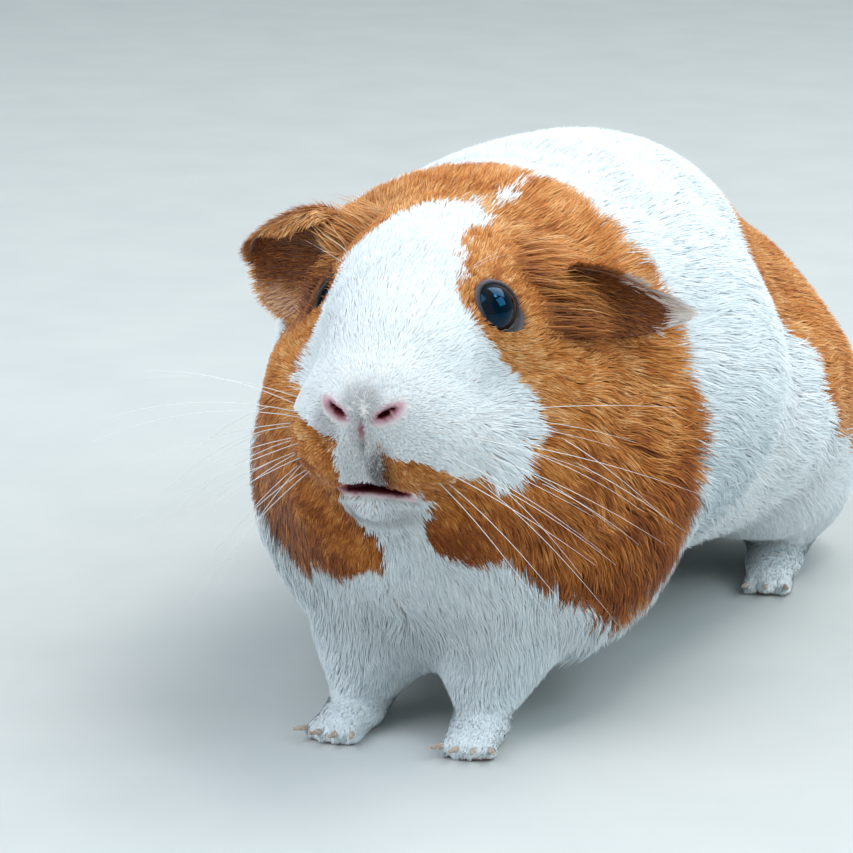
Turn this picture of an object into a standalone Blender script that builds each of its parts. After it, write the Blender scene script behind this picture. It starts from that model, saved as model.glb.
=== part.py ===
"""A life-size guinea pig, standing still with its head turned a little to its left.

The animal faces -Y with +Z up, and its feet stand on z = 0. Every outline is that of the coat.
Sizes are in millimetres, and MM turns them into Blender's metres.
"""

from math import cos, radians, sin

import bmesh
import bpy
import numpy as np
from mathutils import Matrix, Vector

MM = 0.001
GAP = 0.3  # between neighbours that would touch
SHARP_EDGE = 40  # degrees between facets, from which an edge stays sharp

# The animal's driving sizes. Places are measured from the floor under the tip of the nose.
HEAD_TURN = 2.0  # degrees, towards the animal's left
NECK_PIVOT = (0.0, 85.0)  # x and y of the upright line that the head turns about
TRUNK_BLEND, HEAD_BLEND, FOOT_BLEND = 14.0, 7.0, 3.0  # how widely masses of flesh run together
EYES = {"eye_left": (16.2, 31.0, 95.5), "eye_right": (-16.4, 36.2, 94.2)}
EYE_RADIUS = 5.9
SLIM_TEMPLE = 0.13  # share by which the right temple is narrower than the left
WRIST_HEIGHT = 9.0
HOCK_HEIGHT = 11.0

# How large the facets are on each part, in millimetres.
HEAD_CELL, JAW_CELL, NECK_CELL, TRUNK_CELL, LEG_CELL, FOOT_CELL = 5.0, 5.4, 8.0, 12.0, 7.0, 3.0

# Colours, in linear RGB.
GINGER = (0.50, 0.21, 0.06)
WHITE = (0.86, 0.88, 0.90)
EAR_BROWN = (0.30, 0.11, 0.05)
EYE_BLACK = (0.010, 0.009, 0.012)
FOOT_PINK = (0.60, 0.36, 0.32)
CLAW_HORN = (0.52, 0.42, 0.34)

# Masses of flesh: centre, radii, and pitch in degrees. One that is off the middle is one of a pair.
TRUNK_MASSES = {
    "back": ((0, 134, 69), (44, 72, 45), 0),
    "belly": ((0, 152, 47), (60, 60, 35), 0),
    "rump": ((0, 189, 48), (49, 52, 41), 0),
    "ribs": ((0, 110, 64), (60, 48, 47), 0),
    "nape": ((0, 79, 82), (44, 32, 34), 0),
    "chest": ((0, 60, 44), (39, 30, 32), 0),
    "shoulder": ((22, 74, 50), (28, 32, 36), 0),
    "thigh": ((38, 186, 36), (20, 32, 27), -15),
    "forearm": ((14, 46, 22), (9, 10, 20), 12),
    "hock": ((38, 199, 18), (9, 12, 15), -18),
}
HEAD_MASSES = {
    "cranium": ((0, 51, 90), (29, 31, 23), 8),
    "brow": ((0, 31, 90), (20, 19, 14), 30),
    "bridge": ((0, 18, 85), (16, 18, 12), 36),
    "muzzle": ((0, 16, 74), (17, 15, 13), 0),
    "nose": ((0, 7, 80), (10, 7, 8), 20),
    "whisker_pad": ((8, 13, 72), (11, 11, 10), 0),
    "cheek": ((17, 47, 68), (21, 24, 30), 0),
    "jaw": ((12, 33, 61), (17, 19, 20), 0),
    "chin": ((0, 18, 60), (9, 10, 8), 10),
    "throat": ((0, 42, 49), (26, 24, 20), 0),
}

# Flat cuts between parts: a point on the cut in y and z, and how far it leans back, in degrees.
NECK_CUT = ((60, 78), 26)
SHOULDER_CUT = ((74, 78), 42)
RUMP_CUT = ((168, 60), 0)
MOUTH_CUT = ((3, 63), -82)

# Round cuts that part each leg from the trunk: centre, radii, and pitch in degrees.
FORELEG_CUT = ((15, 48, 19), (13, 14, 22), 0)
HINDLEG_CUT = ((40, 190, 32), (22, 34, 36), -15)

# Each ear is a scoop: where it grows from, how far it reaches out, up and down, how deep it is,
# how far its top edge rolls forward and tucks down again, how square its lobe is (2 is an ellipse),
# and how it droops and sweeps back, in degrees.
EARS = {
    "ear_left": {
        "side": 1, "root": (26.5, 49, 95), "reach": (26, 7.5, 7),
        "roll": 4, "tuck": 0, "square": 2, "droop": 14, "sweep": 38,
    },
    "ear_right": {
        "side": -1, "root": (25.5, 56, 97.5), "reach": (26, 19, 12),
        "roll": 9, "tuck": 11, "square": 3.4, "droop": 8, "sweep": 26,
    },
}
EAR_DEPTH = 4.5
EAR_THICKNESS = 2.0
EAR_FAN = 108  # degrees either side of straight out that the scoop's edge runs
EAR_FOOT = 0.12  # share of the way out at which the scoop starts
EAR_RINGS, EAR_SPOKES = 4, 16

# Feet: the ankle's place, half the sole's width and length, and the toes' angles and reach.
FOREFOOT = {"ankle": (14, 41), "sole": (6.2, 8.0), "turn": 6, "toes": (-26, -9, 8, 25), "reach": 6.5}
HINDFOOT = {"ankle": (38, 190), "sole": (7.0, 19.0), "turn": 10, "toes": (-12, 0, 12), "reach": 16.0}
SOLE_HEIGHT, SOLE_THICKNESS = 3.4, 4.4  # the sole's middle above the floor, and half its thickness
ANKLE_HEIGHT, ANKLE_REACH = 9, 10  # the same for the ankle
TOE = (2.3, 6.0, 2.5)  # half the width, length and thickness
TOE_HEIGHT = 1.7
CLAW_LENGTH, CLAW_RADIUS, CLAW_TIP = 8.0, 1.05, 0.4
CLAW_PITCH = 9  # degrees that a claw leans down
CLAW_ROOT = (1.5, 0.8)  # how far a claw starts ahead of the knuckle, and above it


class Mass:
    """One rounded lump of flesh: an ellipsoid, tipped by its pitch and turned by its yaw."""

    def __init__(self, centre, radii, pitch=0.0, yaw=0.0):
        turn = Matrix.Rotation(radians(yaw), 3, "Z") @ Matrix.Rotation(radians(pitch), 3, "X")
        self.centre = np.array(centre, float)
        self.radii = np.array(radii, float)
        self.axes = np.array(turn)

    def distance(self, points):
        """Close to the distance from the lump's surface, and negative inside it."""
        local = (points - self.centre) @ self.axes
        near = np.linalg.norm(local / self.radii, axis=-1)
        slope = np.linalg.norm(local / self.radii**2, axis=-1)
        return near * (near - 1) / np.maximum(slope, 1e-9)


def masses_of(table):
    """The masses of a table, each one that is off the middle made on both sides."""
    made = []
    for (x, y, z), radii, pitch in table.values():
        made.append(Mass((x, y, z), radii, pitch))
        if x:
            made.append(Mass((-x, y, z), radii, pitch))
    return made


def run_together(a, b, width):
    """Two distances made one, with a smooth fillet where their surfaces meet."""
    near = np.maximum(width - np.abs(a - b), 0) / width
    return np.minimum(a, b) - near * near * width / 4


def merged(masses, width):
    """The distance function of several masses run together."""

    def distance(points):
        total = masses[0].distance(points)
        for mass in masses[1:]:
            total = run_together(total, mass.distance(points), width)
        return total

    return distance


def grown(distance, by):
    """A distance function whose surface stands further out."""

    def further(points):
        return distance(points) - by

    return further


def head_turned(points, degrees=HEAD_TURN):
    """Points swung with the head about the neck."""
    swing = np.array(Matrix.Rotation(radians(degrees), 3, "Z"))
    pivot = np.array((*NECK_PIVOT, 0.0))
    return (np.asarray(points, float) - pivot) @ swing.T + pivot


def eased(value, low, high):
    """0 below low and 1 above high, with a smooth rise between."""
    share = np.clip((value - low) / (high - low), 0, 1)
    return share * share * (3 - 2 * share)


trunk_distance = merged(masses_of(TRUNK_MASSES), TRUNK_BLEND)
head_distance = merged(masses_of(HEAD_MASSES), HEAD_BLEND)


def slimmed(points):
    """Points of the head, moved so that its right temple comes out a little narrower than its left."""
    x, y, z = points[..., 0], points[..., 1], points[..., 2]
    near = SLIM_TEMPLE * eased(-x, 2, 16) * eased(z, 78, 92) * (1 - eased(y, 58, 78)) * eased(y, 6, 20)
    return points * np.stack([1 + near, np.ones_like(x), np.ones_like(x)], axis=-1)


def body_distance(points):
    """The whole coat's outline, less the ears and feet."""
    head = head_distance(slimmed(head_turned(points, -HEAD_TURN)))
    return run_together(trunk_distance(points), head, TRUNK_BLEND)


def moved_onto(places, distance, low, high, cell):
    """Points moved onto a surface along its slope, except those on the walls of the box."""
    step = 0.05
    value = distance(places)
    slope = np.stack([(distance(places + step * axis) - value) / step for axis in np.eye(3)], axis=-1)
    steepness = np.maximum((slope * slope).sum(axis=-1), 0.05)
    move = -slope * (value / steepness)[:, None]
    length = np.linalg.norm(move, axis=-1, keepdims=True)
    move *= np.minimum(1, 0.5 * cell / np.maximum(length, 1e-9))
    inner = ((places > low + cell) & (places < high - cell)).all(axis=-1)
    return np.where(inner[:, None], places + move, places)


def surface_of(distance, low, high, cell):
    """The surface where a distance function is nought, closed by the walls of a box, as a bmesh."""
    low, high = np.array(low, float), np.array(high, float)
    counts = np.ceil((high - low) / cell).astype(int) + 1
    grid = np.stack(np.meshgrid(*[low[i] + cell * np.arange(counts[i]) for i in range(3)], indexing="ij"), -1)
    value = distance(grid.reshape(-1, 3)).reshape(counts)
    for side in range(3):
        value.swapaxes(0, side)[[0, -1]] = cell

    def corner_of_cells(data, corner):
        return data[tuple(slice(corner[i], corner[i] + counts[i] - 1) for i in range(3))]

    # One vertex in each cell that the surface crosses, at the middle of its edges' crossings.
    total, hits = np.zeros((*(counts - 1), 3)), np.zeros(counts - 1)
    for start in np.ndindex(2, 2, 2):
        for side in range(3):
            if start[side]:
                continue
            end = tuple(1 if i == side else start[i] for i in range(3))
            a, b = corner_of_cells(value, start), corner_of_cells(value, end)
            crossed = (a < 0) != (b < 0)
            share = np.where(crossed, a / np.where(crossed, a - b, 1), 0)[..., None]
            there = corner_of_cells(grid, start) * (1 - share) + corner_of_cells(grid, end) * share
            total += there * crossed[..., None]
            hits += crossed
    used = hits > 0
    number = np.full(counts - 1, -1)
    number[used] = np.arange(used.sum())
    places = total[used] / hits[used][:, None]
    for _ in range(3):
        places = moved_onto(places, distance, low, high, cell)

    # One face round each grid edge that the surface crosses.
    mesh = bmesh.new()
    verts = [mesh.verts.new(place) for place in places]
    for side in range(3):
        order = (side, (side + 1) % 3, (side + 2) % 3)
        along, cells = np.transpose(value, order), np.transpose(number, order)
        inside, ahead = along[:-1, 1:-1, 1:-1] < 0, along[1:, 1:-1, 1:-1] < 0
        for i, j, k in np.argwhere(inside != ahead):
            ring = [verts[cells[i, j + p, k + q]] for p, q in ((0, 0), (1, 0), (1, 1), (0, 1))]
            mesh.faces.new(ring if inside[i, j, k] else ring[::-1])
    return mesh


def cut_flat(mesh, point, normal):
    """Cuts away what lies beyond a plane, on the side its normal points to, and closes the cut."""
    geometry = mesh.verts[:] + mesh.edges[:] + mesh.faces[:]
    bmesh.ops.bisect_plane(mesh, geom=geometry, plane_co=point, plane_no=normal, clear_outer=True)
    bmesh.ops.holes_fill(mesh, edges=[edge for edge in mesh.edges if edge.is_boundary], sides=0)


def leaning(cut, ahead):
    """A leaning cut's plane for the part ahead of it or behind it, half a gap clear of the cut."""
    (y, z), lean = cut
    normal = Vector((0, cos(radians(lean)), -sin(radians(lean))))
    normal *= 1 if ahead else -1
    return Vector((0, y, z)) - normal * GAP / 2, normal


def level(height, below):
    """A level plane at a height, for the part below it or above it, half a gap clear of it."""
    normal = Vector((0, 0, 1 if below else -1))
    return Vector((0, 0, height)) - normal * GAP / 2, normal


def material(name, colour, roughness=0.8):
    made = bpy.data.materials.new(name)
    made.use_nodes = True
    made.diffuse_color = (*colour, 1)
    shader = made.node_tree.nodes["Principled BSDF"]
    shader.inputs["Base Color"].default_value = (*colour, 1)
    shader.inputs["Roughness"].default_value = roughness
    shader.inputs["Metallic"].default_value = 0.0
    return made


def object_from(mesh, name, finish=None):
    """An object of a mesh in millimetres. One with no finish is a cutter, left out of the model."""
    bmesh.ops.triangulate(mesh, faces=mesh.faces[:])
    bmesh.ops.scale(mesh, vec=(MM, MM, MM), verts=mesh.verts[:])
    data = bpy.data.meshes.new(name)
    mesh.to_mesh(data)
    mesh.free()
    data.shade_smooth()
    data.set_sharp_from_angle(angle=radians(SHARP_EDGE))
    made = bpy.data.objects.new(name, data)
    bpy.context.collection.objects.link(made)
    if finish:
        data.materials.append(finish)
    else:
        made.hide_render = True
        made.display_type = "WIRE"
    return made


def add_boolean(target, operation, other):
    modifier = target.modifiers.new(f"{operation.lower()}_{other.name}", "BOOLEAN")
    modifier.operation = operation
    modifier.solver = "EXACT"
    modifier.object = other


def ball(centre, radii, pitch=0.0, segments=18):
    """An ellipsoid as a bmesh."""
    mesh = bmesh.new()
    place = Matrix.Translation(centre) @ Matrix.Rotation(radians(pitch), 4, "X")
    place @= Matrix.Diagonal((*radii, 1))
    bmesh.ops.create_uvsphere(mesh, u_segments=segments, v_segments=segments // 2, radius=1, matrix=place)
    return mesh


def mirrored(place, side):
    return (side * place[0], *place[1:])


def flesh(name, cell, low, high, cuts, finish):
    """A part of the body: its outline inside a box, closed by flat cuts."""
    mesh = surface_of(body_distance, low, high, cell)
    for point, normal in cuts:
        cut_flat(mesh, point, normal)
    return object_from(mesh, name, finish)


def make_head(ginger, white):
    box = (-56, -8, 8), (56, 98, 130)
    behind = [leaning(NECK_CUT, ahead=True), leaning(SHOULDER_CUT, ahead=True)]
    head = flesh("head", HEAD_CELL, *box, [*behind, leaning(MOUTH_CUT, ahead=False)], white)
    flesh("lower_jaw", JAW_CELL, *box, [*behind, leaning(MOUTH_CUT, ahead=True)], ginger)
    return head


def make_eyes(head, finish):
    """The eyeballs, each in a socket that clears it."""
    for name, place in EYES.items():
        centre = head_turned(place)
        object_from(ball(centre, [EYE_RADIUS] * 3), name, finish)
        socket = object_from(ball(centre, [EYE_RADIUS + GAP] * 3), f"socket_{name}")
        add_boolean(head, "DIFFERENCE", socket)


def ear_point(ear, turn, out):
    """A point of the ear's scoop, from its angle round the fan and its share of the way out."""
    reach, up, down = ear["reach"]
    rise = up if turn < 0 else down
    square = 2 if turn < 0 else ear["square"]
    radius = (abs(cos(turn) / reach) ** square + abs(sin(turn) / rise) ** square) ** (-1 / square)
    radius *= 1 - 0.5 * eased(abs(turn), radians(84), radians(EAR_FAN))
    hollow = EAR_DEPTH * (1 - out**2)
    over = max(0, -sin(turn)) ** (0.8 if ear["tuck"] else 2)
    over *= 1 - eased(-turn, radians(80), radians(EAR_FAN))
    roll, tuck = ear["roll"] * over * out**3, ear["tuck"] * over * out**5
    return Vector((radius * out * cos(turn), hollow - roll, -radius * out * sin(turn) - tuck))


def make_ears(finish):
    """The ears, each cut off where it meets the head's coat."""
    coat = surface_of(grown(body_distance, GAP), (-72, 26, 50), (72, 112, 130), HEAD_CELL)
    cutter = object_from(coat, "coat_round_ears")
    for name, ear in EARS.items():
        side = ear["side"]
        mesh = bmesh.new()
        swing = Matrix.Rotation(radians(ear["sweep"]), 3, "Z")
        swing @= Matrix.Rotation(radians(ear["droop"]), 3, "Y")
        rows = []
        for ring in range(EAR_RINGS + 1):
            row = []
            for spoke in range(EAR_SPOKES + 1):
                turn = radians(EAR_FAN) * (2 * spoke / EAR_SPOKES - 1)
                out = EAR_FOOT + (1 - EAR_FOOT) * ring / EAR_RINGS
                place = swing @ ear_point(ear, turn, out) + Vector(ear["root"])
                row.append(mesh.verts.new(head_turned(mirrored(place, side))))
            rows.append(row)
        for lower, upper in zip(rows, rows[1:]):
            for i in range(EAR_SPOKES):
                corners = [lower[i], lower[i + 1], upper[i + 1], upper[i]]
                mesh.faces.new(corners if side > 0 else corners[::-1])
        made = object_from(mesh, name, finish)
        thicken = made.modifiers.new("thickness", "SOLIDIFY")
        thicken.thickness = EAR_THICKNESS * MM
        thicken.offset = 0
        add_boolean(made, "DIFFERENCE", cutter)


def make_trunk(ginger, white):
    """The neck, trunk and rump. The trunk's parts are cleared for the legs afterwards."""
    shoulder, rump = leaning(SHOULDER_CUT, ahead=False), leaning(RUMP_CUT, ahead=False)
    low, high = (-75, 8, 4), (75, 262, 135)
    neck = [leaning(NECK_CUT, ahead=False), leaning(SHOULDER_CUT, ahead=True)]
    flesh("neck", NECK_CELL, (-66, 8, 8), (66, 130, 135), neck, ginger)
    trunk = flesh("trunk", TRUNK_CELL, low, high, [shoulder, leaning(RUMP_CUT, ahead=True)], white)
    return trunk, flesh("rump", TRUNK_CELL, low, high, [rump], white)


def make_leg(name, side, cut, height, parts, finish):
    """A leg parted from the trunk by a round cut, down to its foot."""
    centre, radii, pitch = cut
    centre = Vector(mirrored(centre, side))
    reach = Vector((max(radii) + 6,) * 3)
    leg = flesh(name, LEG_CELL, centre - reach, centre + reach, [level(height, below=False)], finish)
    keep = object_from(ball(centre, radii, pitch), f"keep_{name}")
    add_boolean(leg, "INTERSECT", keep)
    clear = object_from(ball(centre, [r + GAP for r in radii], pitch), f"clear_{name}")
    for part in parts:
        add_boolean(part, "DIFFERENCE", clear)


def make_foot(name, side, foot, height, skin, horn):
    """A foot flat on the floor below its ankle, with a claw on each toe."""
    (x, y), (half_width, half_length) = foot["ankle"], foot["sole"]
    turn = side * foot["turn"]
    swing = Matrix.Rotation(radians(turn), 3, "Z")
    ankle = Vector((side * x, y, 0))
    centre = ankle + swing @ Vector((0, -0.4 * half_length, 0))
    lumps = [
        Mass(centre + Vector((0, 0, SOLE_HEIGHT)), (half_width, half_length, SOLE_THICKNESS), 0, turn),
        Mass(ankle + Vector((0, 2, ANKLE_HEIGHT)), (half_width, half_width + 1.5, ANKLE_REACH), 0, turn),
    ]
    tips = []
    for angle in foot["toes"]:
        ahead = Matrix.Rotation(radians(turn + side * angle), 3, "Z") @ Vector((0, -1, 0))
        knuckle = centre + ahead * foot["reach"] + Vector((0, 0, TOE_HEIGHT))
        lumps.append(Mass(knuckle, TOE, 0, turn + side * angle))
        tips.append((knuckle, ahead))
    outline = merged(lumps, FOOT_BLEND)
    reach = Vector((half_width + 12, half_length + 14, 0))
    low, high = centre - reach - Vector((0, 0, 6)), centre + reach + Vector((0, 0, 26))
    mesh = surface_of(outline, low, high, FOOT_CELL)
    cut_flat(mesh, *level(height, below=True))
    cut_flat(mesh, Vector((0, 0, 0)), Vector((0, 0, -1)))
    object_from(mesh, name, skin)

    outside = surface_of(grown(outline, 2 * GAP), low, high, FOOT_CELL)
    around = object_from(outside, f"around_{name}")
    for number, (knuckle, ahead) in enumerate(tips, 1):
        claw = bmesh.new()
        lean = Matrix.Rotation(radians(CLAW_PITCH), 3, ahead.cross(Vector((0, 0, 1)))) @ ahead
        start = knuckle + ahead * CLAW_ROOT[0] + Vector((0, 0, CLAW_ROOT[1]))
        place = Matrix.Translation(start + ahead * CLAW_LENGTH / 2)
        place @= lean.to_track_quat("Z", "Y").to_matrix().to_4x4()
        bmesh.ops.create_cone(
            claw,
            cap_ends=True,
            segments=8,
            radius1=CLAW_RADIUS,
            radius2=CLAW_TIP,
            depth=CLAW_LENGTH,
            matrix=place,
        )
        made = object_from(claw, f"{name}_claw_{number}", horn)
        add_boolean(made, "DIFFERENCE", around)


def stand_on_origin():
    """Shifts everything so that the origin is under the middle of the whole animal."""
    bpy.context.view_layer.update()
    graph = bpy.context.evaluated_depsgraph_get()
    corners = [
        Vector(corner)
        for made in bpy.context.scene.objects
        if not made.hide_render
        for corner in made.evaluated_get(graph).bound_box
    ]
    for axis in (0, 1):
        values = [corner[axis] for corner in corners]
        middle = (min(values) + max(values)) / 2
        for made in bpy.context.scene.objects:
            made.location[axis] -= middle


def main():
    for thing in list(bpy.data.objects):
        bpy.data.objects.remove(thing, do_unlink=True)
    ginger, white = material("ginger_coat", GINGER), material("white_coat", WHITE)
    head = make_head(ginger, white)
    make_eyes(head, material("eye_black", EYE_BLACK, 0.05))
    make_ears(material("ear_skin", EAR_BROWN))
    trunk, rump = make_trunk(ginger, white)
    pink, horn = material("foot_skin", FOOT_PINK, 0.6), material("claw_horn", CLAW_HORN, 0.4)
    for word, side in (("left", 1), ("right", -1)):
        make_leg(f"foreleg_{word}", side, FORELEG_CUT, WRIST_HEIGHT, [trunk], white)
        make_leg(f"hindleg_{word}", side, HINDLEG_CUT, HOCK_HEIGHT, [trunk, rump], white)
        make_foot(f"forefoot_{word}", side, FOREFOOT, WRIST_HEIGHT, pink, horn)
        make_foot(f"hindfoot_{word}", side, HINDFOOT, HOCK_HEIGHT, pink, horn)
    stand_on_origin()


main()
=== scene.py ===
import time
from math import cos, pi, radians, sin

import bmesh
import bpy
import numpy as np
from mathutils import Matrix, Vector
from mathutils.kdtree import KDTree


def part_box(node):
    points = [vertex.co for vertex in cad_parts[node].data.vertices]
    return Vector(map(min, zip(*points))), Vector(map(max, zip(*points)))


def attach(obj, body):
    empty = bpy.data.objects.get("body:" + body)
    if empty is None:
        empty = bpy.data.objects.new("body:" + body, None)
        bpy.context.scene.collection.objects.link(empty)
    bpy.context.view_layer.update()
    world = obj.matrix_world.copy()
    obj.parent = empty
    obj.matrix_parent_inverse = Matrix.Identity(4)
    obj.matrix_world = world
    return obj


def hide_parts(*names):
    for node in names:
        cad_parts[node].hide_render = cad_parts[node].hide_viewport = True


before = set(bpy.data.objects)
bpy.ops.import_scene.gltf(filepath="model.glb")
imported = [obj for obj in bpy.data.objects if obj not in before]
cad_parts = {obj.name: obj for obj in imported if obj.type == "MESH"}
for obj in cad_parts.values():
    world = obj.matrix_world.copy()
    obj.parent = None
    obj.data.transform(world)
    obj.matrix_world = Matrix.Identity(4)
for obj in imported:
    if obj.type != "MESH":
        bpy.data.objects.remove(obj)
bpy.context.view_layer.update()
started = time.time()
mm = 0.001
chance = np.random.default_rng(2407)


def report(stage):
    print(f"{stage}: {time.time() - started:.0f} s")


# The same lumps as the solids: centre, radii, pitch in degrees. One off the middle is one of a pair.
trunkLumps = {
    "back": ((0, 134, 69), (44, 72, 45), 0),
    "belly": ((0, 152, 47), (60, 60, 35), 0),
    "rump": ((0, 189, 48), (49, 52, 41), 0),
    "ribs": ((0, 110, 64), (60, 48, 47), 0),
    "nape": ((0, 79, 82), (44, 32, 34), 0),
    "chest": ((0, 60, 44), (39, 30, 32), 0),
    "shoulder": ((22, 74, 50), (28, 32, 36), 0),
    "thigh": ((38, 186, 36), (20, 32, 27), -15),
    "forearm": ((14, 46, 22), (9, 10, 20), 12),
    "hock": ((38, 199, 18), (9, 12, 15), -18),
}
headLumps = {
    "cranium": ((0, 51, 90), (29, 31, 23), 8),
    "brow": ((0, 31, 90), (20, 19, 14), 30),
    "bridge": ((0, 18, 85), (16, 18, 12), 36),
    "muzzle": ((0, 16, 74), (17, 15, 13), 0),
    "nose": ((0, 7, 80), (10, 7, 8), 20),
    "whiskerPad": ((8, 13, 72), (11, 11, 10), 0),
    "cheek": ((17, 47, 68), (21, 24, 30), 0),
    "jaw": ((12, 33, 61), (17, 19, 20), 0),
    "chin": ((0, 18, 60), (9, 10, 8), 10),
    "throat": ((0, 42, 49), (26, 24, 20), 0),
}
flesh = {
    "trunkBlend": 14.0, "headBlend": 7.0, "footBlend": 3.0, "footJoin": 4.0, "footInset": 0.2,
    "headTurn": 2.0, "neckPivot": (0.0, 85.0),
    "feetUnder": 30, "faceBefore": 48,  # the feet's and the face's small forms stop here
}
feet = {
    "fore": {"ankle": (14, 41), "sole": (6.2, 8.0), "turn": 6, "toes": (-26, -9, 8, 25), "reach": 6.5},
    "hind": {"ankle": (38, 190), "sole": (7.0, 19.0), "turn": 10, "toes": (-12, 0, 12), "reach": 16.0},
    "toe": (2.3, 6.0, 2.5), "toeHigh": 1.7,
    "soleAhead": 0.4, "soleHigh": 3.4, "soleThick": 4.4,
    "ankleBack": 2, "ankleHigh": 9, "ankleLonger": 1.5, "ankleTall": 10,
}


class Lump:
    def __init__(self, centre, radii, pitch=0.0, yaw=0.0, roll=0.0):
        turn = Matrix.Rotation(radians(yaw), 3, "Z") @ Matrix.Rotation(radians(roll), 3, "Y")
        turn = turn @ Matrix.Rotation(radians(pitch), 3, "X")
        self.centre = np.array(centre, float)
        self.radii = np.array(radii, float)
        self.axes = np.array(turn)

    def distance(self, points):
        local = (points - self.centre) @ self.axes
        scaled = local / self.radii
        near = np.sqrt((scaled * scaled).sum(-1))
        scaled /= self.radii
        slope = np.sqrt((scaled * scaled).sum(-1))
        return near * (near - 1) / np.maximum(slope, 1e-9)


def lumpsOf(table):
    made = []
    for (x, y, z), radii, pitch in table.values():
        made.append(Lump((x, y, z), radii, pitch))
        if x:
            made.append(Lump((-x, y, z), radii, pitch))
    return made


def blend(a, b, width):
    near = np.maximum(width - np.abs(a - b), 0) / width
    return np.minimum(a, b) - near * near * width / 4


def carve(a, b, width):
    return -blend(-a, b, width)


def joined(lumps, width, points):
    total = lumps[0].distance(points)
    for lump in lumps[1:]:
        total = blend(total, lump.distance(points), width)
    return total


def headTurned(points, degrees=flesh["headTurn"]):
    swing = np.array(Matrix.Rotation(radians(degrees), 3, "Z"))
    pivot = np.array((*flesh["neckPivot"], 0.0))
    return (np.asarray(points, float) - pivot) @ swing.T + pivot


def ramp(value, low, high):
    t = np.clip((value - low) / (high - low), 0, 1)
    return t * t * (3 - 2 * t)


def footLumps(foot, side):
    x, y = foot["ankle"]
    halfWidth, halfLength = foot["sole"]
    turn = side * foot["turn"]
    ankle = Vector((side * x, y, 0))
    centre = ankle + Matrix.Rotation(radians(turn), 3, "Z") @ Vector((0, -feet["soleAhead"] * halfLength, 0))
    sole = centre + Vector((0, 0, feet["soleHigh"]))
    shank = ankle + Vector((0, feet["ankleBack"], feet["ankleHigh"]))
    made = [
        Lump(sole, (halfWidth, halfLength, feet["soleThick"]), 0, turn),
        Lump(shank, (halfWidth, halfWidth + feet["ankleLonger"], feet["ankleTall"]), 0, turn),
    ]
    for angle in foot["toes"]:
        toeTurn = turn + side * angle
        ahead = Matrix.Rotation(radians(toeTurn), 3, "Z") @ Vector((0, -1, 0))
        toe = centre + ahead * foot["reach"] + Vector((0, 0, feet["toeHigh"]))
        made.append(Lump(toe, feet["toe"], 0, toeTurn))
    return made


trunkFlesh = lumpsOf(trunkLumps)
headFlesh = lumpsOf(headLumps)
footFlesh = [footLumps(feet[kind], side) for kind in ("fore", "hind") for side in (1, -1)]

# Where things are on the head, in its own frame before it turns
face = {
    "eyeRadius": 5.9, "socketLess": 0.4,
    "nostril": (5.0, -0.3, 80.6), "nostrilSize": (2.1, 2.6, 0.52), "nostrilRise": 30, "nostrilYaw": 26,
    "wing": {"off": (0.4, 2.6, -0.1), "radii": (4.0, 3.0, 3.4), "yaw": 18},
    "barePad": {"off": (0.2, 1.0, 0), "radii": (3.9, 3.6, 1.75), "yaw": 22},
    "bareMiddle": ((0, -0.8, 76.6), (0.9, 2.5, 2.2)),
    "upperLip": ((5.2, 5.6, 70.5), (5.4, 5.6, 6.0)), "lowerLip": ((0, 9.5, 59.2), (5.0, 5.0, 3.0)),
    "philtrum": (0, -1.2, 73.0), "philtrumSize": (0.55, 2.4, 6.5), "philtrumPitch": -10,
    "mouth": (0, 4.6, 63.6), "mouthSize": (8.5, 6.5, 0.9), "mouthPitch": -8, "mouthCurl": 0.03,
}
# How widely each form of the face runs into the rest
soften = {
    "wing": 1.6, "upperLip": 2.5, "lowerLip": 2.0,
    "nostril": 0.7, "socket": 0.4, "philtrum": 1.2, "mouth": 0.9,
}
# left is 1 and right is -1; the right eye sits a little further back, as on a living head
eyeAt = {1: np.array((16.2, 31.0, 95.5)), -1: np.array((-16.4, 36.2, 94.2))}
sight = {1: np.array((0.78, -0.47, 0.40)), -1: np.array((-0.96, 0.20, 0.22))}

# The right temple is narrower than the left by this share, fading over these stretches
rightTemple = {"slim": 0.13, "side": (2, 16), "up": (78, 92), "front": (6, 20), "back": (58, 78)}

# How far the skin lies inside the coat's outline: the least, and how much more over each stretch
skinInset = {
    "least": 0.5, "nose": (0, 4, 74.0),
    "face": (1.9, 12, 42), "head": (2.6, 38, 75), "trunk": (1.0, 80, 120),
    "atEye": 1.0, "fromEye": 7, "perMm": 0.16,
    "lowLeg": 0.25, "leg": (5, 30),
}


def slimmed(local):
    x, y, z = local[..., 0], local[..., 1], local[..., 2]
    slim = rightTemple["slim"] * ramp(-x, *rightTemple["side"]) * ramp(z, *rightTemple["up"])
    slim = slim * (1 - ramp(y, *rightTemple["back"])) * ramp(y, *rightTemple["front"])
    return local * np.stack([1 + slim, 1 + 0 * y, 1 + 0 * z], -1)


def outline(points):
    # outline of the coat, without ears and feet
    local = slimmed(headTurned(points, -flesh["headTurn"]))
    head = joined(headFlesh, flesh["headBlend"], local)
    return blend(joined(trunkFlesh, flesh["trunkBlend"], points), head, flesh["trunkBlend"])


def coatDepth(points):
    # shallow round the nose, the eyes and the lower legs
    local = headTurned(points, -flesh["headTurn"])
    fromNose = np.linalg.norm(local - np.array(skinInset["nose"]), axis=-1)
    depth = skinInset["least"]
    for stretch, reach in (("face", fromNose), ("head", fromNose), ("trunk", points[..., 1])):
        more, low, high = skinInset[stretch]
        depth = depth + more * ramp(reach, low, high)
    for eye in eyeAt.values():
        past = np.maximum(np.linalg.norm(local - eye, axis=-1) - skinInset["fromEye"], 0)
        depth = np.minimum(depth, skinInset["atEye"] + skinInset["perMm"] * past)
    return skinInset["lowLeg"] + (depth - skinInset["lowLeg"]) * ramp(points[..., 2], *skinInset["leg"])


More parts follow.
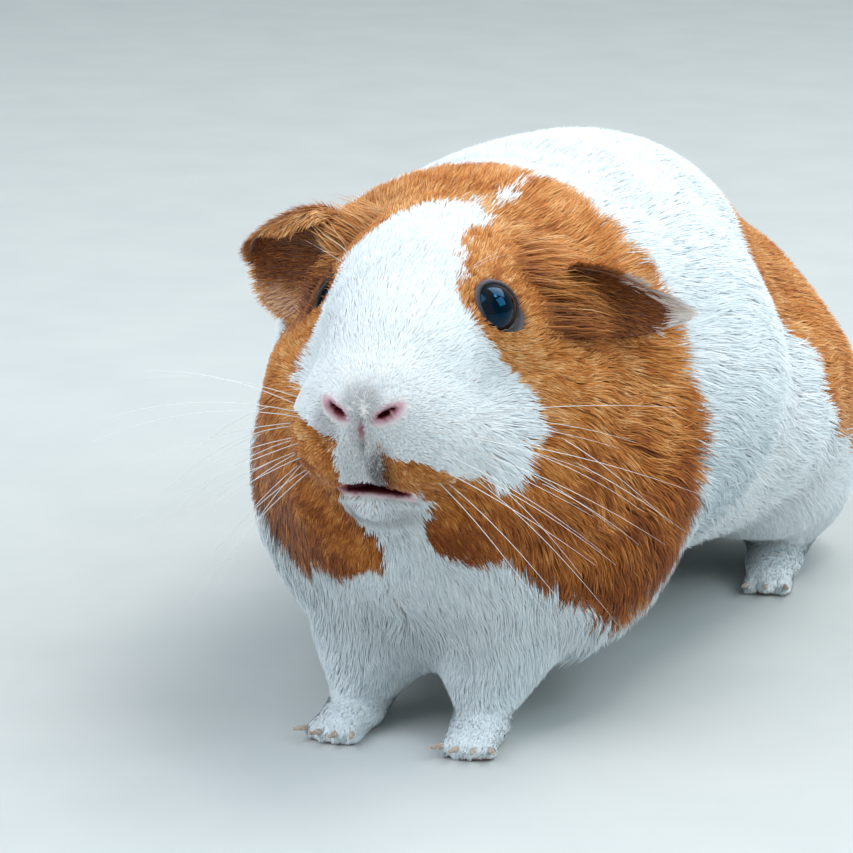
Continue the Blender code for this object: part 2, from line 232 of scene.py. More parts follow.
def atNostril(side, off, radii, yaw):
    # a lump beside this nostril, tilted as it is
    centre = (np.array(face["nostril"]) + off) * (side, 1, 1)
    return Lump(centre, radii, 0, side * yaw, -side * face["nostrilRise"])


def mouthDistance(local):
    curled = local.copy()
    curled[..., 2] += face["mouthCurl"] * local[..., 0] ** 2
    return Lump(face["mouth"], face["mouthSize"], face["mouthPitch"]).distance(curled)


def skinDistance(points):
    base = outline(points) + coatDepth(points)
    low = points[..., 2] < flesh["feetUnder"]
    if low.any():
        some = points[low]
        value = base[low]
        for lumps in footFlesh:
            foot = joined(lumps, flesh["footBlend"], some) + flesh["footInset"]
            value = blend(value, foot, flesh["footJoin"])
        base[low] = value
    front = points[..., 1] < flesh["faceBefore"]
    if front.any():
        some = headTurned(points[front], -flesh["headTurn"])
        value = base[front]
        for side in (1, -1):
            value = blend(value, atNostril(side, **face["wing"]).distance(some), soften["wing"])
            (x, y, z), radii = face["upperLip"]
            value = blend(value, Lump((side * x, y, z), radii).distance(some), soften["upperLip"])
        value = blend(value, Lump(*face["lowerLip"]).distance(some), soften["lowerLip"])
        for side in (1, -1):
            hole = atNostril(side, (0, 0.4, 0), face["nostrilSize"], face["nostrilYaw"])
            value = carve(value, hole.distance(some), soften["nostril"])
            socket = Lump(eyeAt[side], [face["eyeRadius"] - face["socketLess"]] * 3)
            value = carve(value, socket.distance(some), soften["socket"])
        groove = Lump(face["philtrum"], face["philtrumSize"], face["philtrumPitch"])
        value = carve(value, groove.distance(some), soften["philtrum"])
        base[front] = carve(value, mouthDistance(some), soften["mouth"])
    return np.maximum(base, -points[..., 2])


def slopeOf(distance, points, step=0.06):
    here = distance(points)
    slope = np.stack([(distance(points + step * axis) - here) / step for axis in np.eye(3)], -1)
    return here, slope


def unit(vectors):
    return vectors / np.maximum(np.linalg.norm(vectors, axis=-1, keepdims=True), 1e-9)


def spaced(*runs):
    # one axis of the grid, from runs of (start, end, spacing)
    values = []
    for start, end, spacing in runs:
        count = max(1, round((end - start) / spacing))
        values.extend(start + (end - start) * np.arange(count) / count)
    return np.array(values + [runs[-1][1]])


def surfaceOf(distance, axes, rounds=3):
    # the surface where the distance is nought, on a grid whose lines may be unevenly spaced
    counts = np.array([len(axis) for axis in axes])
    grid = np.stack(np.meshgrid(*axes, indexing="ij"), -1)
    value = np.concatenate([distance(slab.reshape(-1, 3)) for slab in grid]).reshape(counts)
    # the grid's outer layers count as outside
    for side in range(3):
        value.swapaxes(0, side)[[0, -1]] = 2.0

    def cornerOf(data, corner):
        return data[tuple(slice(corner[i], corner[i] + counts[i] - 1) for i in range(3))]

    total, hits = np.zeros((*(counts - 1), 3)), np.zeros(counts - 1)
    for start in np.ndindex(2, 2, 2):
        for side in range(3):
            if start[side]:
                continue
            end = tuple(1 if i == side else start[i] for i in range(3))
            a, b = cornerOf(value, start), cornerOf(value, end)
            crossed = (a < 0) != (b < 0)
            share = np.where(crossed, a / np.where(crossed, a - b, 1), 0)[..., None]
            crossing = cornerOf(grid, start) * (1 - share) + cornerOf(grid, end) * share
            total += crossing * crossed[..., None]
            hits += crossed
    used = hits > 0
    number = np.full(counts - 1, -1)
    number[used] = np.arange(used.sum())
    places = total[used] / hits[used][:, None]
    size = (cornerOf(grid, (1, 1, 1)) - cornerOf(grid, (0, 0, 0)))[used].min(-1)
    # each point is drawn on to the surface itself
    for _ in range(rounds):
        here, slope = slopeOf(distance, places)
        move = -slope * (here / np.maximum((slope * slope).sum(-1), 0.2))[:, None]
        length = np.linalg.norm(move, axis=-1)
        places += move * np.minimum(1, 0.4 * size / np.maximum(length, 1e-9))[:, None]
    faces = []
    for side in range(3):
        order = (side, (side + 1) % 3, (side + 2) % 3)
        along, cells = np.transpose(value, order), np.transpose(number, order)
        inside, ahead = along[:-1, 1:-1, 1:-1] < 0, along[1:, 1:-1, 1:-1] < 0
        i, j, k = np.nonzero(inside != ahead)
        ring = np.stack([cells[i, j + p, k + q] for p, q in ((0, 0), (1, 0), (1, 1), (0, 1))], -1)
        back = ~inside[i, j, k]
        ring[back] = ring[back][:, ::-1]
        faces.append(ring)
    return places, np.concatenate(faces)


shift = np.mean(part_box("eye_left"), axis=0) / mm - headTurned(eyeAt[1])


def placed(points):
    return (np.asarray(points) + shift) * mm


def meshObject(name, points, faces, smooth=True):
    data = bpy.data.meshes.new(name)
    data.from_pydata(placed(points).tolist(), [], [list(face) for face in faces])
    data.update()
    if smooth:
        data.shade_smooth()
    made = bpy.data.objects.new(name, data)
    bpy.context.collection.objects.link(made)
    return made


def numberOn(thing, name, values):
    layer = thing.data.attributes.new(name, "FLOAT", "POINT")
    layer.data.foreach_set("value", np.asarray(values, np.float32))


def pointsOf(thing):
    values = np.empty(len(thing.data.vertices) * 3)
    thing.data.vertices.foreach_get("co", values)
    return values.reshape(-1, 3) / mm - shift


# The white of the face, by the angle round the head up from the mouth line (degrees), and how far
# it runs to each side of the middle (mm). Ginger fills the rest back to the collar.
blaze = {
    "turn": (-18, -8, 0, 5, 8, 11, 18, 27, 34, 42, 51, 58, 66, 75, 82, 90, 99),
    "right": (-4, -5, -5.5, -6.5, -13, -21, -22, -22, -21.5, -20.5, -18.5, -17.5, -16.5, -14.5, -11, -5, 3),
    "left": (26, 27, 27.5, 27.5, 27.5, 27.5, 26.5, 24.6, 21.6, 16.2, 12.3, 10.3, 9.5, 9.2, 9.2, 9, 7),
    "lipTurn": (-20, -17, -10, -2.3, 3, 6),
    "lipLeft": (30, 23.5, 19, 15, 4.6, 2),
}
collar = {
    "height": (15, 24, 35, 46, 57, 80, 90, 100, 108, 113, 118),
    "left": (62, 66, 74, 78, 79, 77, 76, 76, 79, 84, 90),
    "right": (50, 54, 58, 60, 61, 66, 70, 76, 82, 88, 92),
}
chestTop = {
    "side": (-50, -40, -28, -16, 0, 10, 21, 29, 33, 40, 50),
    "height": (50, 44, 37, 38, 44, 47, 43, 33, 25, 15, 10),
}
markings = {
    "blazeCentre": (50, 70),  # y and z that the angle round the head is taken about
    "blazeEnds": (-19, 99), "endSlopes": (0.5, 0.6), "lipTop": 6, "lipMiddle": (-1.4, 5.2),
    "chin": (0.8, 12, 58.0), "chinStretch": (1.0, 1.5, 1.0), "chinRadius": 8.4,
    "throatFrom": 56, "throatTop": 58, "throatBack": 50, "throatHalf": 5.5, "throatSpread": (0.12, 0.25),
    "napeHairs": (9, 64, 1.1, 0.06),  # a few pale hairs part the ginger here: x, y, half-width, taper
    "collarTurns": (-14, 14), "chestSlope": 0.8,
    "rumpPatches": (((50, 192, 74), (40, 42, 40)), ((-46, 168, 66), (30, 26, 30))),
    "cheekSpot": (18.6, 19.5, 83), "cheekSpotRadius": 1.1,
    "edge": ((5.0, 3, 0.9), (1.8, 4, 0.7)), "patchEdge": (9.0, 8, 3),  # ripples: size, seed, height
}


def ripple(points, size, seed):
    # soft noise of about -1 to 1, in bumps of this size
    rng = np.random.default_rng(seed)
    total = 0
    for _ in range(6):
        way = rng.normal(size=3)
        way *= 2 * pi / (size * rng.uniform(1.6, 3.2)) / np.linalg.norm(way)
        total = total + np.sin(points @ way + rng.uniform(0, 2 * pi))
    return total / 2.6


def gingerAt(points):
    # more than 0 where the coat is ginger, in millimetres from the edge of the marking
    far = 99
    local = headTurned(points, -flesh["headTurn"])
    x, y, z = local[..., 0], local[..., 1], local[..., 2]
    edge = 0
    for size, seed, height in markings["edge"]:
        edge = edge + ripple(local, size, seed) * height
    centreY, centreZ = markings["blazeCentre"]
    turn = np.degrees(np.arctan2(z - centreZ, centreY - y))
    left = np.interp(turn, blaze["turn"], blaze["left"])
    right = np.interp(turn, blaze["turn"], blaze["right"])
    white = np.minimum(left - x, x - right)
    # ginger comes in under the nose from the left, short of the white middle of the lip
    lip = np.interp(turn, blaze["lipTurn"], blaze["lipLeft"], right=-far)
    middleX, half = markings["lipMiddle"]
    underNose = np.maximum(x - lip, half - np.abs(x - middleX))
    white = np.minimum(white, np.where(turn < markings["lipTop"], underNose, far))
    lowEnd, topEnd = markings["blazeEnds"]
    lowSlope, topSlope = markings["endSlopes"]
    white = np.minimum(white, (topEnd - turn) * topSlope)
    white = np.minimum(white, (turn - lowEnd) * lowSlope)
    fromChin = (local - np.array(markings["chin"])) / np.array(markings["chinStretch"])
    chin = markings["chinRadius"] - np.linalg.norm(fromChin, axis=-1)
    below = markings["throatFrom"] - z
    wider, across = markings["throatSpread"]
    throat = markings["throatHalf"] + wider * below - np.abs(x - 0.5 - across * below)
    throat = np.minimum(throat, markings["throatTop"] - z)
    white = np.maximum(white, np.maximum(chin, np.where(y < markings["throatBack"], throat, -9)))
    napeX, napeY, half, taper = markings["napeHairs"]
    white = np.maximum(white, half - np.abs(x - napeX) - taper * np.abs(y - napeY))
    leftShare = ramp(x, *markings["collarTurns"])
    back = np.interp(z, collar["height"], collar["left"]) * leftShare
    back += np.interp(z, collar["height"], collar["right"]) * (1 - leftShare)
    white = np.maximum(white, y - back)
    chest = np.interp(x, chestTop["side"], chestTop["height"]) - z
    white = np.maximum(white, chest * markings["chestSlope"])
    ginger = -white
    size, seed, height = markings["patchEdge"]
    for centre, radii in markings["rumpPatches"]:
        patch = Lump(centre, radii)
        ginger = np.maximum(ginger, -patch.distance(points) + ripple(points, size, seed) * height)
    spot = markings["cheekSpotRadius"] - np.linalg.norm(local - np.array(markings["cheekSpot"]), axis=-1)
    return np.maximum(ginger, spot) + edge


skinPlan = {
    "across": ((-66, -48, 2.2), (-48, 48, 0.9), (48, 66, 2.2)),
    "along": ((-4, 46, 0.8), (46, 90, 1.4), (90, 248, 2.3)),
    "up": ((-0.9, 13.5, 0.9), (13.5, 54, 1.7), (54, 104, 0.8), (104, 122, 1.6)),
}
skinGrid = [spaced(*skinPlan[way]) for way in ("across", "along", "up")]
skinPoints, skinFaces = surfaceOf(skinDistance, skinGrid)
report(f"skin surface, {len(skinFaces)} faces")

# Each ear is a sheet that fans out from its root. Its angle runs from -fan at the top edge to fan.
ears = {
    "left": {
        "side": 1, "root": (26.5, 49, 95), "reach": (26, 7.5, 7), "droop": 14, "sweep": 38,
        "square": 2, "roll": 4, "tuck": 0, "spread": 2,
    },
    "right": {
        "side": -1, "root": (25.5, 56, 97.5), "reach": (26, 19, 12), "droop": 8, "sweep": 26,
        "square": 3.4, "roll": 9, "tuck": 11, "spread": 0.8,
    },
    "depth": 4.5, "fan": 108, "foot": 0.12, "thick": (1.9, 0.9), "rings": 22, "spokes": 56,
    "narrowFrom": 84, "narrow": 0.5, "rollEnds": 80, "wave": 0.015, "crease": 0.5,
}


def earSheet(ear, turn, out):
    # a point on the middle of the ear's sheet, this share of the way out to its edge
    reach, up, down = ear["reach"]
    rise = np.where(turn < 0, up, down)
    # 2 is an ellipse; more is squarer, for the lobe
    square = np.where(turn < 0, 2, ear["square"])
    radius = np.abs(np.cos(turn) / reach) ** square + np.abs(np.sin(turn) / rise) ** square
    radius = radius ** (-1 / square) * (1 - ears["wave"] * np.cos(4 * turn + 0.6))
    fan = radians(ears["fan"])
    radius = radius * (1 - ears["narrow"] * ramp(np.abs(turn), radians(ears["narrowFrom"]), fan))
    hollow = ears["depth"] * (1 - out**2)
    # the top edge rolls forward, and on the right ear tucks down again
    over = np.maximum(0, -np.sin(turn)) ** ear["spread"] * (1 - ramp(-turn, radians(ears["rollEnds"]), fan))
    roll = ear["roll"] * over * out**3
    tuck = ear["tuck"] * over * out**5
    fold = ears["crease"] * np.sin(5 * turn + 1) * out * (1 - out) * 2
    across = radius * out * np.cos(turn)
    local = np.stack([across, hollow - roll + fold, -radius * out * np.sin(turn) - tuck], -1)
    swing = Matrix.Rotation(radians(ear["sweep"]), 3, "Z") @ Matrix.Rotation(radians(ear["droop"]), 3, "Y")
    place = local @ np.array(swing).T + np.array(ear["root"])
    return headTurned(place * np.array((ear["side"], 1, 1)))


def earFrame(ear, turn, out):
    # place, outward way and the normal of the hollow side
    here = earSheet(ear, turn, out)
    ahead = unit(earSheet(ear, turn, out + 0.01) - here)
    around = unit(earSheet(ear, turn + 0.01, out) - here)
    normal = unit(np.cross(ahead, around)) * ear["side"]
    return here, ahead, normal


def earThick(out):
    atRoot, atEdge = ears["thick"]
    return atRoot + (atEdge - atRoot) * out


def quadsOf(number):
    return np.stack([number[:-1, :-1], number[1:, :-1], number[1:, 1:], number[:-1, 1:]], -1).reshape(-1, 4)


def makeEar(word):
    ear = ears[word]
    turn = np.radians(ears["fan"]) * np.linspace(-1, 1, ears["spokes"] + 1)
    out = ears["foot"] + (1 - ears["foot"]) * np.linspace(0, 1, ears["rings"] + 1)
    out, turn = np.meshgrid(out, turn, indexing="ij")
    here, _, normal = earFrame(ear, turn, out)
    # thinner again at the very edge
    thick = (earThick(out) * np.where(out > 0.99, 0.5, 1))[..., None]
    half = normal * thick / 2
    points = np.concatenate([(here + half).reshape(-1, 3), (here - half).reshape(-1, 3)])
    number = np.arange(out.size).reshape(out.shape)
    rim = np.concatenate([number[0, :-1], number[:-1, -1], number[-1, :0:-1], number[:0:-1, 0]])
    after = np.roll(rim, -1)
    wall = np.stack([rim, after, after + out.size, rim + out.size], -1)
    behind = quadsOf(number + out.size)[:, [0, 3, 2, 1]]
    made = meshObject(f"ear_{word}_skin", points, np.concatenate([quadsOf(number), behind, wall]))
    outwards(made)
    return made


def outwards(thing):
    shape = bmesh.new()
    shape.from_mesh(thing.data)
    bmesh.ops.recalc_face_normals(shape, faces=shape.faces)
    shape.to_mesh(thing.data)
    shape.free()


lids = {
    "open": 51, "long": 5, "tilt": -20, "corner": 6, "cornerTurn": 215, "cornerSharp": 8,
    "around": 64, "wide": 0.85, "front": 0.4,
    # the rim's section: mm off the eyeball, and degrees out from the opening
    "section": ((0.02, 0), (0.35, 1), (0.58, 4), (0.66, 8), (0.66, 14), (0.5, 21), (-0.9, 21), (-0.9, 4)),
}


def lidSpread(turn):
    # half-angle of the opening, this far round it
    toCorner = np.maximum(0, np.cos(turn - radians(lids["cornerTurn"])))
    corner = lids["corner"] * toCorner ** lids["cornerSharp"]
    return lids["open"] + lids["long"] * np.cos(2 * (turn - radians(lids["tilt"]))) + corner


def eyeAxes(side):
    # the line of sight, up and across it
    axis = unit(sight[side])
    up = unit(np.array((0, 0, 1)) - axis * axis[2])
    return axis, up, np.cross(up, axis) * side


def eyeWay(side, angle, turn):
    # the way out of the eye's middle, this angle off the line of sight and this far round it
    axis, up, back = eyeAxes(side)
    return axis * cos(angle) + (up * cos(turn) + back * sin(turn)) * sin(angle)


def makeLid(word, side):
    # the bare rim round the eye rises off the eyeball and dies into the skin
    points = []
    for turn in np.linspace(0, 2 * pi, lids["around"], endpoint=False):
        for high, wide in lids["section"]:
            angle = radians(lidSpread(turn) + wide * (lids["wide"] - lids["front"] * max(0, -sin(turn))))
            points.append(eyeAt[side] + eyeWay(side, angle, turn) * (face["eyeRadius"] + high))
    points = headTurned(np.array(points))
    ring = len(lids["section"])
    quads = []
    for first in range(0, len(points), ring):
        for j in range(ring):
            a = first + j
            b = first + (j + 1) % ring
            quads.append((a, b, (b + ring) % len(points), (a + ring) % len(points)))
    made = meshObject(f"lid_{word}", points, quads)
    outwards(made)
    return made


skin = meshObject("skin", skinPoints, skinFaces)
extras = [makeEar("left"), makeEar("right"), makeLid("left", 1), makeLid("right", -1)]
for extra in extras:
    union = skin.modifiers.new(extra.name, "BOOLEAN")
    union.operation = "UNION"
    union.solver = "MANIFOLD"
    union.object = extra
bpy.context.view_layer.update()
solid = bpy.data.meshes.new_from_object(skin.evaluated_get(bpy.context.evaluated_depsgraph_get()))
skin.modifiers.clear()
skin.data = solid
skin.data.shade_smooth()
for extra in extras:
    bpy.data.objects.remove(extra, do_unlink=True)
report(f"ears and lids joined to the skin, {len(solid.polygons)} faces")


def colourOf(code):
    # sRGB hex to linear
    parts = [int(code[i:i + 2], 16) / 255 for i in (1, 3, 5)]
    return (*[c / 12.92 if c <= 0.04045 else ((c + 0.055) / 1.055) ** 2.4 for c in parts], 1)


def addNode(tree, kind, inputs=None, stops=(), **settings):
    # one node: inputs by name or number, a colour ramp's stops, and settings by name
    node = tree.nodes.new(kind)
    for name, value in settings.items():
        setattr(node, name, value)
    for index, (place, code) in enumerate(stops):
        stop = node.color_ramp.elements[index] if index < 2 else node.color_ramp.elements.new(place)
        stop.position = place
        stop.color = colourOf(code)
    for name, value in (inputs or {}).items():
        if isinstance(value, bpy.types.NodeSocket):
            tree.links.new(value, node.inputs[name])
        else:
            node.inputs[name].default_value = value
    return node


def newFinish(name, gloss):
    made = bpy.data.materials.new(name)
    made.use_nodes = True
    tree = made.node_tree
    shader = tree.nodes["Principled BSDF"]
    for socket, value in gloss.items():
        shader.inputs[socket].default_value = value
    return made, tree, shader


# Guard hair: satin shafts, each a little its own shade, darker down at the root as painted shade deep in the
# coat
hairColours = {
    "white": ((0.0, "#C6D1D6"), (0.3, "#E4EBEE"), (0.55, "#F1F6F7"), (1.0, "#FCFDFE")),
    "ginger": ((0.0, "#87420F"), (0.3, "#BF6E26"), (0.65, "#DF9952"), (1.0, "#F3C68E")),
    # brown of the ears' hollows: their own colour, darkened as painted shade
    "earBrownAndShade": ((0.0, "#5C2B0E"), (0.5, "#8B4A1C"), (1.0, "#B9733A")),
    # painted shade: hair is darker towards its root, deep in the coat
    "rootShade": ((0.0, "#B8A79B"), (0.3, "#DDD5CE"), (0.7, "#FFFFFF"), (1.0, "#FFFFFF")),
    "greyAndShade": "#7E7779",
    "locksPerMetre": 85.0,  # locks 12 mm across differ in shade
}


def furFinish():
    made, tree, shader = newFinish("guard_hair", {
        "Roughness": 0.55, "Specular IOR Level": 0.2, "Sheen Weight": 0.06, "Sheen Roughness": 0.45,
    })
    place = addNode(tree, "ShaderNodeTexCoord").outputs["Object"]
    share = {}
    for label in ("hairShade", "along", "ginger", "earBrownAndShade", "greyAndShade"):
        share[label] = addNode(tree, "ShaderNodeAttribute", attribute_name=label).outputs["Fac"]
    locks = {"Vector": place, "Scale": hairColours["locksPerMetre"], "Detail": 2.0}
    locks = addNode(tree, "ShaderNodeTexNoise", locks).outputs["Fac"]
    drift = addNode(tree, "ShaderNodeMath", {0: locks, 1: 0.9, 2: -0.45}, operation="MULTIPLY_ADD")
    shade = {0: drift.outputs[0], 1: share["hairShade"]}
    shade = addNode(tree, "ShaderNodeMath", shade, operation="ADD", use_clamp=True).outputs[0]
    # the painted shade at the roots is weaker on white hair than on ginger
    deepen = {0: share["ginger"], 1: 0.55, 2: 0.45}
    deepen = addNode(tree, "ShaderNodeMath", deepen, operation="MULTIPLY_ADD").outputs[0]
    tone = {}
    factors = {"white": share["hairShade"], "ginger": shade, "earBrownAndShade": shade, "rootShade": share["along"]}
    for label, factor in factors.items():
        ramped = addNode(tree, "ShaderNodeValToRGB", {"Fac": factor}, hairColours[label])
        tone[label] = ramped.outputs["Color"]
    colour = tone["white"]
    for amount, over, way in (
        (share["ginger"], tone["ginger"], "MIX"),
        (share["earBrownAndShade"], tone["earBrownAndShade"], "MIX"),
        (deepen, tone["rootShade"], "MULTIPLY"),
        # greyer hair: grey fuzz round the nose, and painted shade beside the philtrum and under the mouth
        (share["greyAndShade"], colourOf(hairColours["greyAndShade"]), "MULTIPLY"),
    ):
        mixed = {0: amount, 6: colour, 7: over}
        colour = addNode(tree, "ShaderNodeMix", mixed, data_type="RGBA", blend_type=way).outputs[2]
    tree.links.new(colour, shader.inputs["Base Color"])
    return made


# Thin skin seen between the hairs, and bare on the nose, lids, ears and soles. Each colour lies
# over those before it where its number on the skin is 1; two or more blotch into each other.
skinColours = {
    "white": "#F1ECE8",
    "over": {
        "ginger": "#C08052",
        "nosePink": ((0.3, "#A97883"), (0.7, "#CFA3AB")),
        # the dark red lining of the nostrils and the mouth, darkened as painted shade deep in the holes
        "holeLiningShade": "#6E2A32",
        "lidGrey": ((0.3, "#494249"), (0.7, "#746B73")),
        "lidDark": "#1E191C",
        "earInner": ((0.25, "#4A2413"), (0.6, "#7A4426"), (0.8, "#A06A48")),
        "earPink": ((0.3, "#B98874"), (0.7, "#D8AC9A")),
        "solePink": ((0.3, "#C98F88"), (0.7, "#E3B4AA")),
    },
    "blotchesPerMetre": 220.0, "poresPerMetre": 1900.0,  # pores and creases are about 0.5 mm apart
}


def skinFinish():
    made, tree, shader = newFinish("bare_skin", {"Roughness": 0.5, "Specular IOR Level": 0.4})
    place = addNode(tree, "ShaderNodeTexCoord").outputs["Object"]
    pores = {"Vector": place, "Scale": skinColours["poresPerMetre"], "Detail": 3.0}
    pores = addNode(tree, "ShaderNodeTexNoise", pores).outputs["Fac"]
    broad = {"Vector": place, "Scale": skinColours["blotchesPerMetre"], "Detail": 3.0}
    broad = addNode(tree, "ShaderNodeTexNoise", broad).outputs["Fac"]
    colour = colourOf(skinColours["white"])
    for label, over in skinColours["over"].items():
        amount = addNode(tree, "ShaderNodeAttribute", attribute_name=label).outputs["Fac"]
        if isinstance(over, str):
            over = colourOf(over)
        else:
            over = addNode(tree, "ShaderNodeValToRGB", {"Fac": broad}, over).outputs["Color"]
        colour = addNode(tree, "ShaderNodeMix", {0: amount, 6: colour, 7: over}, data_type="RGBA").outputs[2]
    tree.links.new(colour, shader.inputs["Base Color"])
    bump = addNode(tree, "ShaderNodeBump", {"Strength": 0.35, "Distance": 0.0003, "Height": pores})
    tree.links.new(bump.outputs["Normal"], shader.inputs["Normal"])
    return made


# Wet eyeball: near-black brown iris round a black pupil, under a wet film whose reflections are tinted sky
# blue, a painted reflection. The rings run from the middle of the pupil to 75 degrees off it.
eyeColours = {
    "rings": (
        (0.0, "#020203"), (0.34, "#030304"), (0.42, "#1C120C"),
        (0.62, "#22160F"), (0.74, "#060506"), (1.0, "#0A090B"),
    ),
    "fibres": ((0.3, "#3A3A3A"), (0.7, "#FFFFFF")), "fibresPerMetre": 1500.0,
    # painted reflection: the film's reflections are tinted sky blue
    "skyReflectionTint": "#35B4F8",
}


def eyeFinish():
    made, tree, shader = newFinish("wet_eye", {
        "Roughness": 0.04, "Specular IOR Level": 0.55, "Specular Tint": colourOf(eyeColours["skyReflectionTint"]),
    })
    place = addNode(tree, "ShaderNodeTexCoord").outputs["Object"]
    out = addNode(tree, "ShaderNodeAttribute", attribute_name="fromPupil").outputs["Fac"]
    rings = addNode(tree, "ShaderNodeValToRGB", {"Fac": out}, eyeColours["rings"]).outputs["Color"]
    fibres = {"Vector": place, "Scale": eyeColours["fibresPerMetre"], "Detail": 2.0}
    fibres = addNode(tree, "ShaderNodeTexNoise", fibres).outputs["Fac"]
    fibres = addNode(tree, "ShaderNodeValToRGB", {"Fac": fibres}, eyeColours["fibres"]).outputs["Color"]
    mixed = {0: 0.5, 6: rings, 7: fibres}
    colour = addNode(tree, "ShaderNodeMix", mixed, data_type="RGBA", blend_type="MULTIPLY").outputs[2]
    tree.links.new(colour, shader.inputs["Base Color"])
    return made


def clawFinish():
    # pale claw horn: waxy, with a grain about 0.5 mm wide that runs fore and aft
    made, tree, shader = newFinish("claw_horn", {"Roughness": 0.34, "Specular IOR Level": 0.45})
    place = addNode(tree, "ShaderNodeTexCoord").outputs["Object"]
    stretched = addNode(tree, "ShaderNodeMapping", {"Vector": place, "Scale": (2200.0, 500.0, 2200.0)})
    grain = {"Vector": stretched.outputs[0], "Scale": 1.0, "Detail": 3.0}
    grain = addNode(tree, "ShaderNodeTexNoise", grain).outputs["Fac"]
    horn = addNode(tree, "ShaderNodeValToRGB", {"Fac": grain}, ((0.3, "#9C8577"), (0.7, "#D8C5B4")))
    tree.links.new(horn.outputs["Color"], shader.inputs["Base Color"])
    bump = addNode(tree, "ShaderNodeBump", {"Strength": 0.3, "Distance": 0.0002, "Height": grain})
    tree.links.new(bump.outputs["Normal"], shader.inputs["Normal"])
    return made


def whiskerFinish():
    # stiff white whisker: smooth, a little darker at its root, so that it catches the light
    made, tree, shader = newFinish("whisker", {"Roughness": 0.35, "Specular IOR Level": 0.5})
    along = addNode(tree, "ShaderNodeAttribute", attribute_name="along").outputs["Fac"]
    stops = ((0.0, "#BFB6AE"), (0.3, "#F4F2EF"), (1.0, "#FFFFFF"))
    colour = addNode(tree, "ShaderNodeValToRGB", {"Fac": along}, stops).outputs["Color"]
    tree.links.new(colour, shader.inputs["Base Color"])
    return made


def floorFinish():
    # matt pale studio paper
    made, tree, shader = newFinish("studio_paper", {"Roughness": 0.9, "Specular IOR Level": 0.2})
    place = addNode(tree, "ShaderNodeTexCoord").outputs["Object"]
    fibre = addNode(tree, "ShaderNodeTexNoise", {"Vector": place, "Scale": 30.0, "Detail": 4.0})
    mottle = {"Fac": fibre.outputs["Fac"]}
    colour = addNode(tree, "ShaderNodeValToRGB", mottle, ((0.3, "#C2C5C3"), (0.7, "#C8CAC8")))
    tree.links.new(colour.outputs["Color"], shader.inputs["Base Color"])
    return made


hairMaterial = furFinish()
skinMaterial = skinFinish()
eyeMaterial = eyeFinish()
skinPlaces = pointsOf(skin)
skinLocal = headTurned(skinPlaces, -flesh["headTurn"])


# Where each colour of the skin gives way to the next: mm off its own form, degrees off the
# opening of the lids, or mm along one axis
skinEdges = {
    "ginger": (-0.5, 0.5), "nosePink": (-0.6, 0.9), "holeLiningShade": (0.15, 0.5), "solePink": (0.8, 2.2),
    "lidGrey": (16, 26), "leftLidDark": (2, 8), "rightLidDark": (20, 26), "lidNear": 9,
    "lips": (0.5, 1.6), "lipsUnder": 70, "lipsPink": 0.8,
    "earOff": (0.5, 2.0), "earBack": (38, 44), "earUp": (72, 76),
    "earTop": (94, 99), "earFacing": (0, 0.35), "rightLobe": (86, 92), "leftPoint": (66, 72),
}


def earShare(points):
    # 1 on the ears, 0 on the body
    off = ramp(outline(points) + coatDepth(points), *skinEdges["earOff"])
    back, up = ramp(points[..., 1], *skinEdges["earBack"]), ramp(points[..., 2], *skinEdges["earUp"])
    return off * back * up


def nearNostril(local):
    near = Lump(*face["bareMiddle"]).distance(local)
    for side in (1, -1):
        near = np.minimum(near, atNostril(side, **face["barePad"]).distance(local))
    return near


def nearHole(local):
    near = mouthDistance(local)
    for side in (1, -1):
        hole = atNostril(side, (0, 0.5, 0), face["nostrilSize"], face["nostrilYaw"])
        near = np.minimum(near, hole.distance(local))
    return near


def fromEyes(local):
    return np.minimum(*[np.linalg.norm(local - eye, axis=-1) for eye in eyeAt.values()])


def pastLid(local):
    # degrees outside the opening between the lids, far away where no eye is near
    past = np.full(len(local), 180.0)
    for side, eye in eyeAt.items():
        axis, up, back = eyeAxes(side)
        away = local - eye
        turn = np.arctan2(away @ back, away @ up)
        angle = np.degrees(np.arccos(np.clip(unit(away) @ axis, -1, 1))) - lidSpread(turn)
        near = np.linalg.norm(away, axis=-1) < skinEdges["lidNear"]
        past = np.where(near, np.minimum(past, angle), past)
    return past


skinNormals = np.empty(len(skinPlaces) * 3)
skin.data.vertices.foreach_get("normal", skinNormals)
onEar = earShare(skinPlaces)
topSide = ramp(skinNormals[2::3], *skinEdges["earFacing"]) * ramp(skinPlaces[:, 2], *skinEdges["earTop"])
# pink at the right ear's lobe and at the left ear's point
lobe = 1 - ramp(skinPlaces[:, 2], *skinEdges["rightLobe"])
earEnd = np.where(skinPlaces[:, 0] < 0, lobe, ramp(skinPlaces[:, 1], *skinEdges["leftPoint"]))
lips = skinEdges["lipsPink"] * (1 - ramp(nearHole(skinLocal), *skinEdges["lips"]))
lips = lips * (skinLocal[:, 2] < skinEdges["lipsUnder"])
# the lids are black further out round the right eye, which is seen edge on
lidEnds = np.where(skinLocal[:, :1] > 0, skinEdges["leftLidDark"], skinEdges["rightLidDark"]).T
skinNumbers = {
    "ginger": ramp(gingerAt(skinPlaces), *skinEdges["ginger"]),
    "nosePink": np.maximum(1 - ramp(nearNostril(skinLocal), *skinEdges["nosePink"]), lips),
    # painted shade: dark red deep inside the nostrils and the mouth
    "holeLiningShade": 1 - ramp(nearHole(skinLocal), *skinEdges["holeLiningShade"]),
    "lidGrey": 1 - ramp(pastLid(skinLocal), *skinEdges["lidGrey"]),
    "lidDark": 1 - ramp(pastLid(skinLocal), *lidEnds),
    # the ear's skin is brown where it does not face up: its own colour, darkened as painted shade of the
    # hollow
    "earInner": onEar * (1 - topSide),
    "earPink": onEar * earEnd,
    "solePink": 1 - ramp(skinPlaces[:, 2], *skinEdges["solePink"]),
}
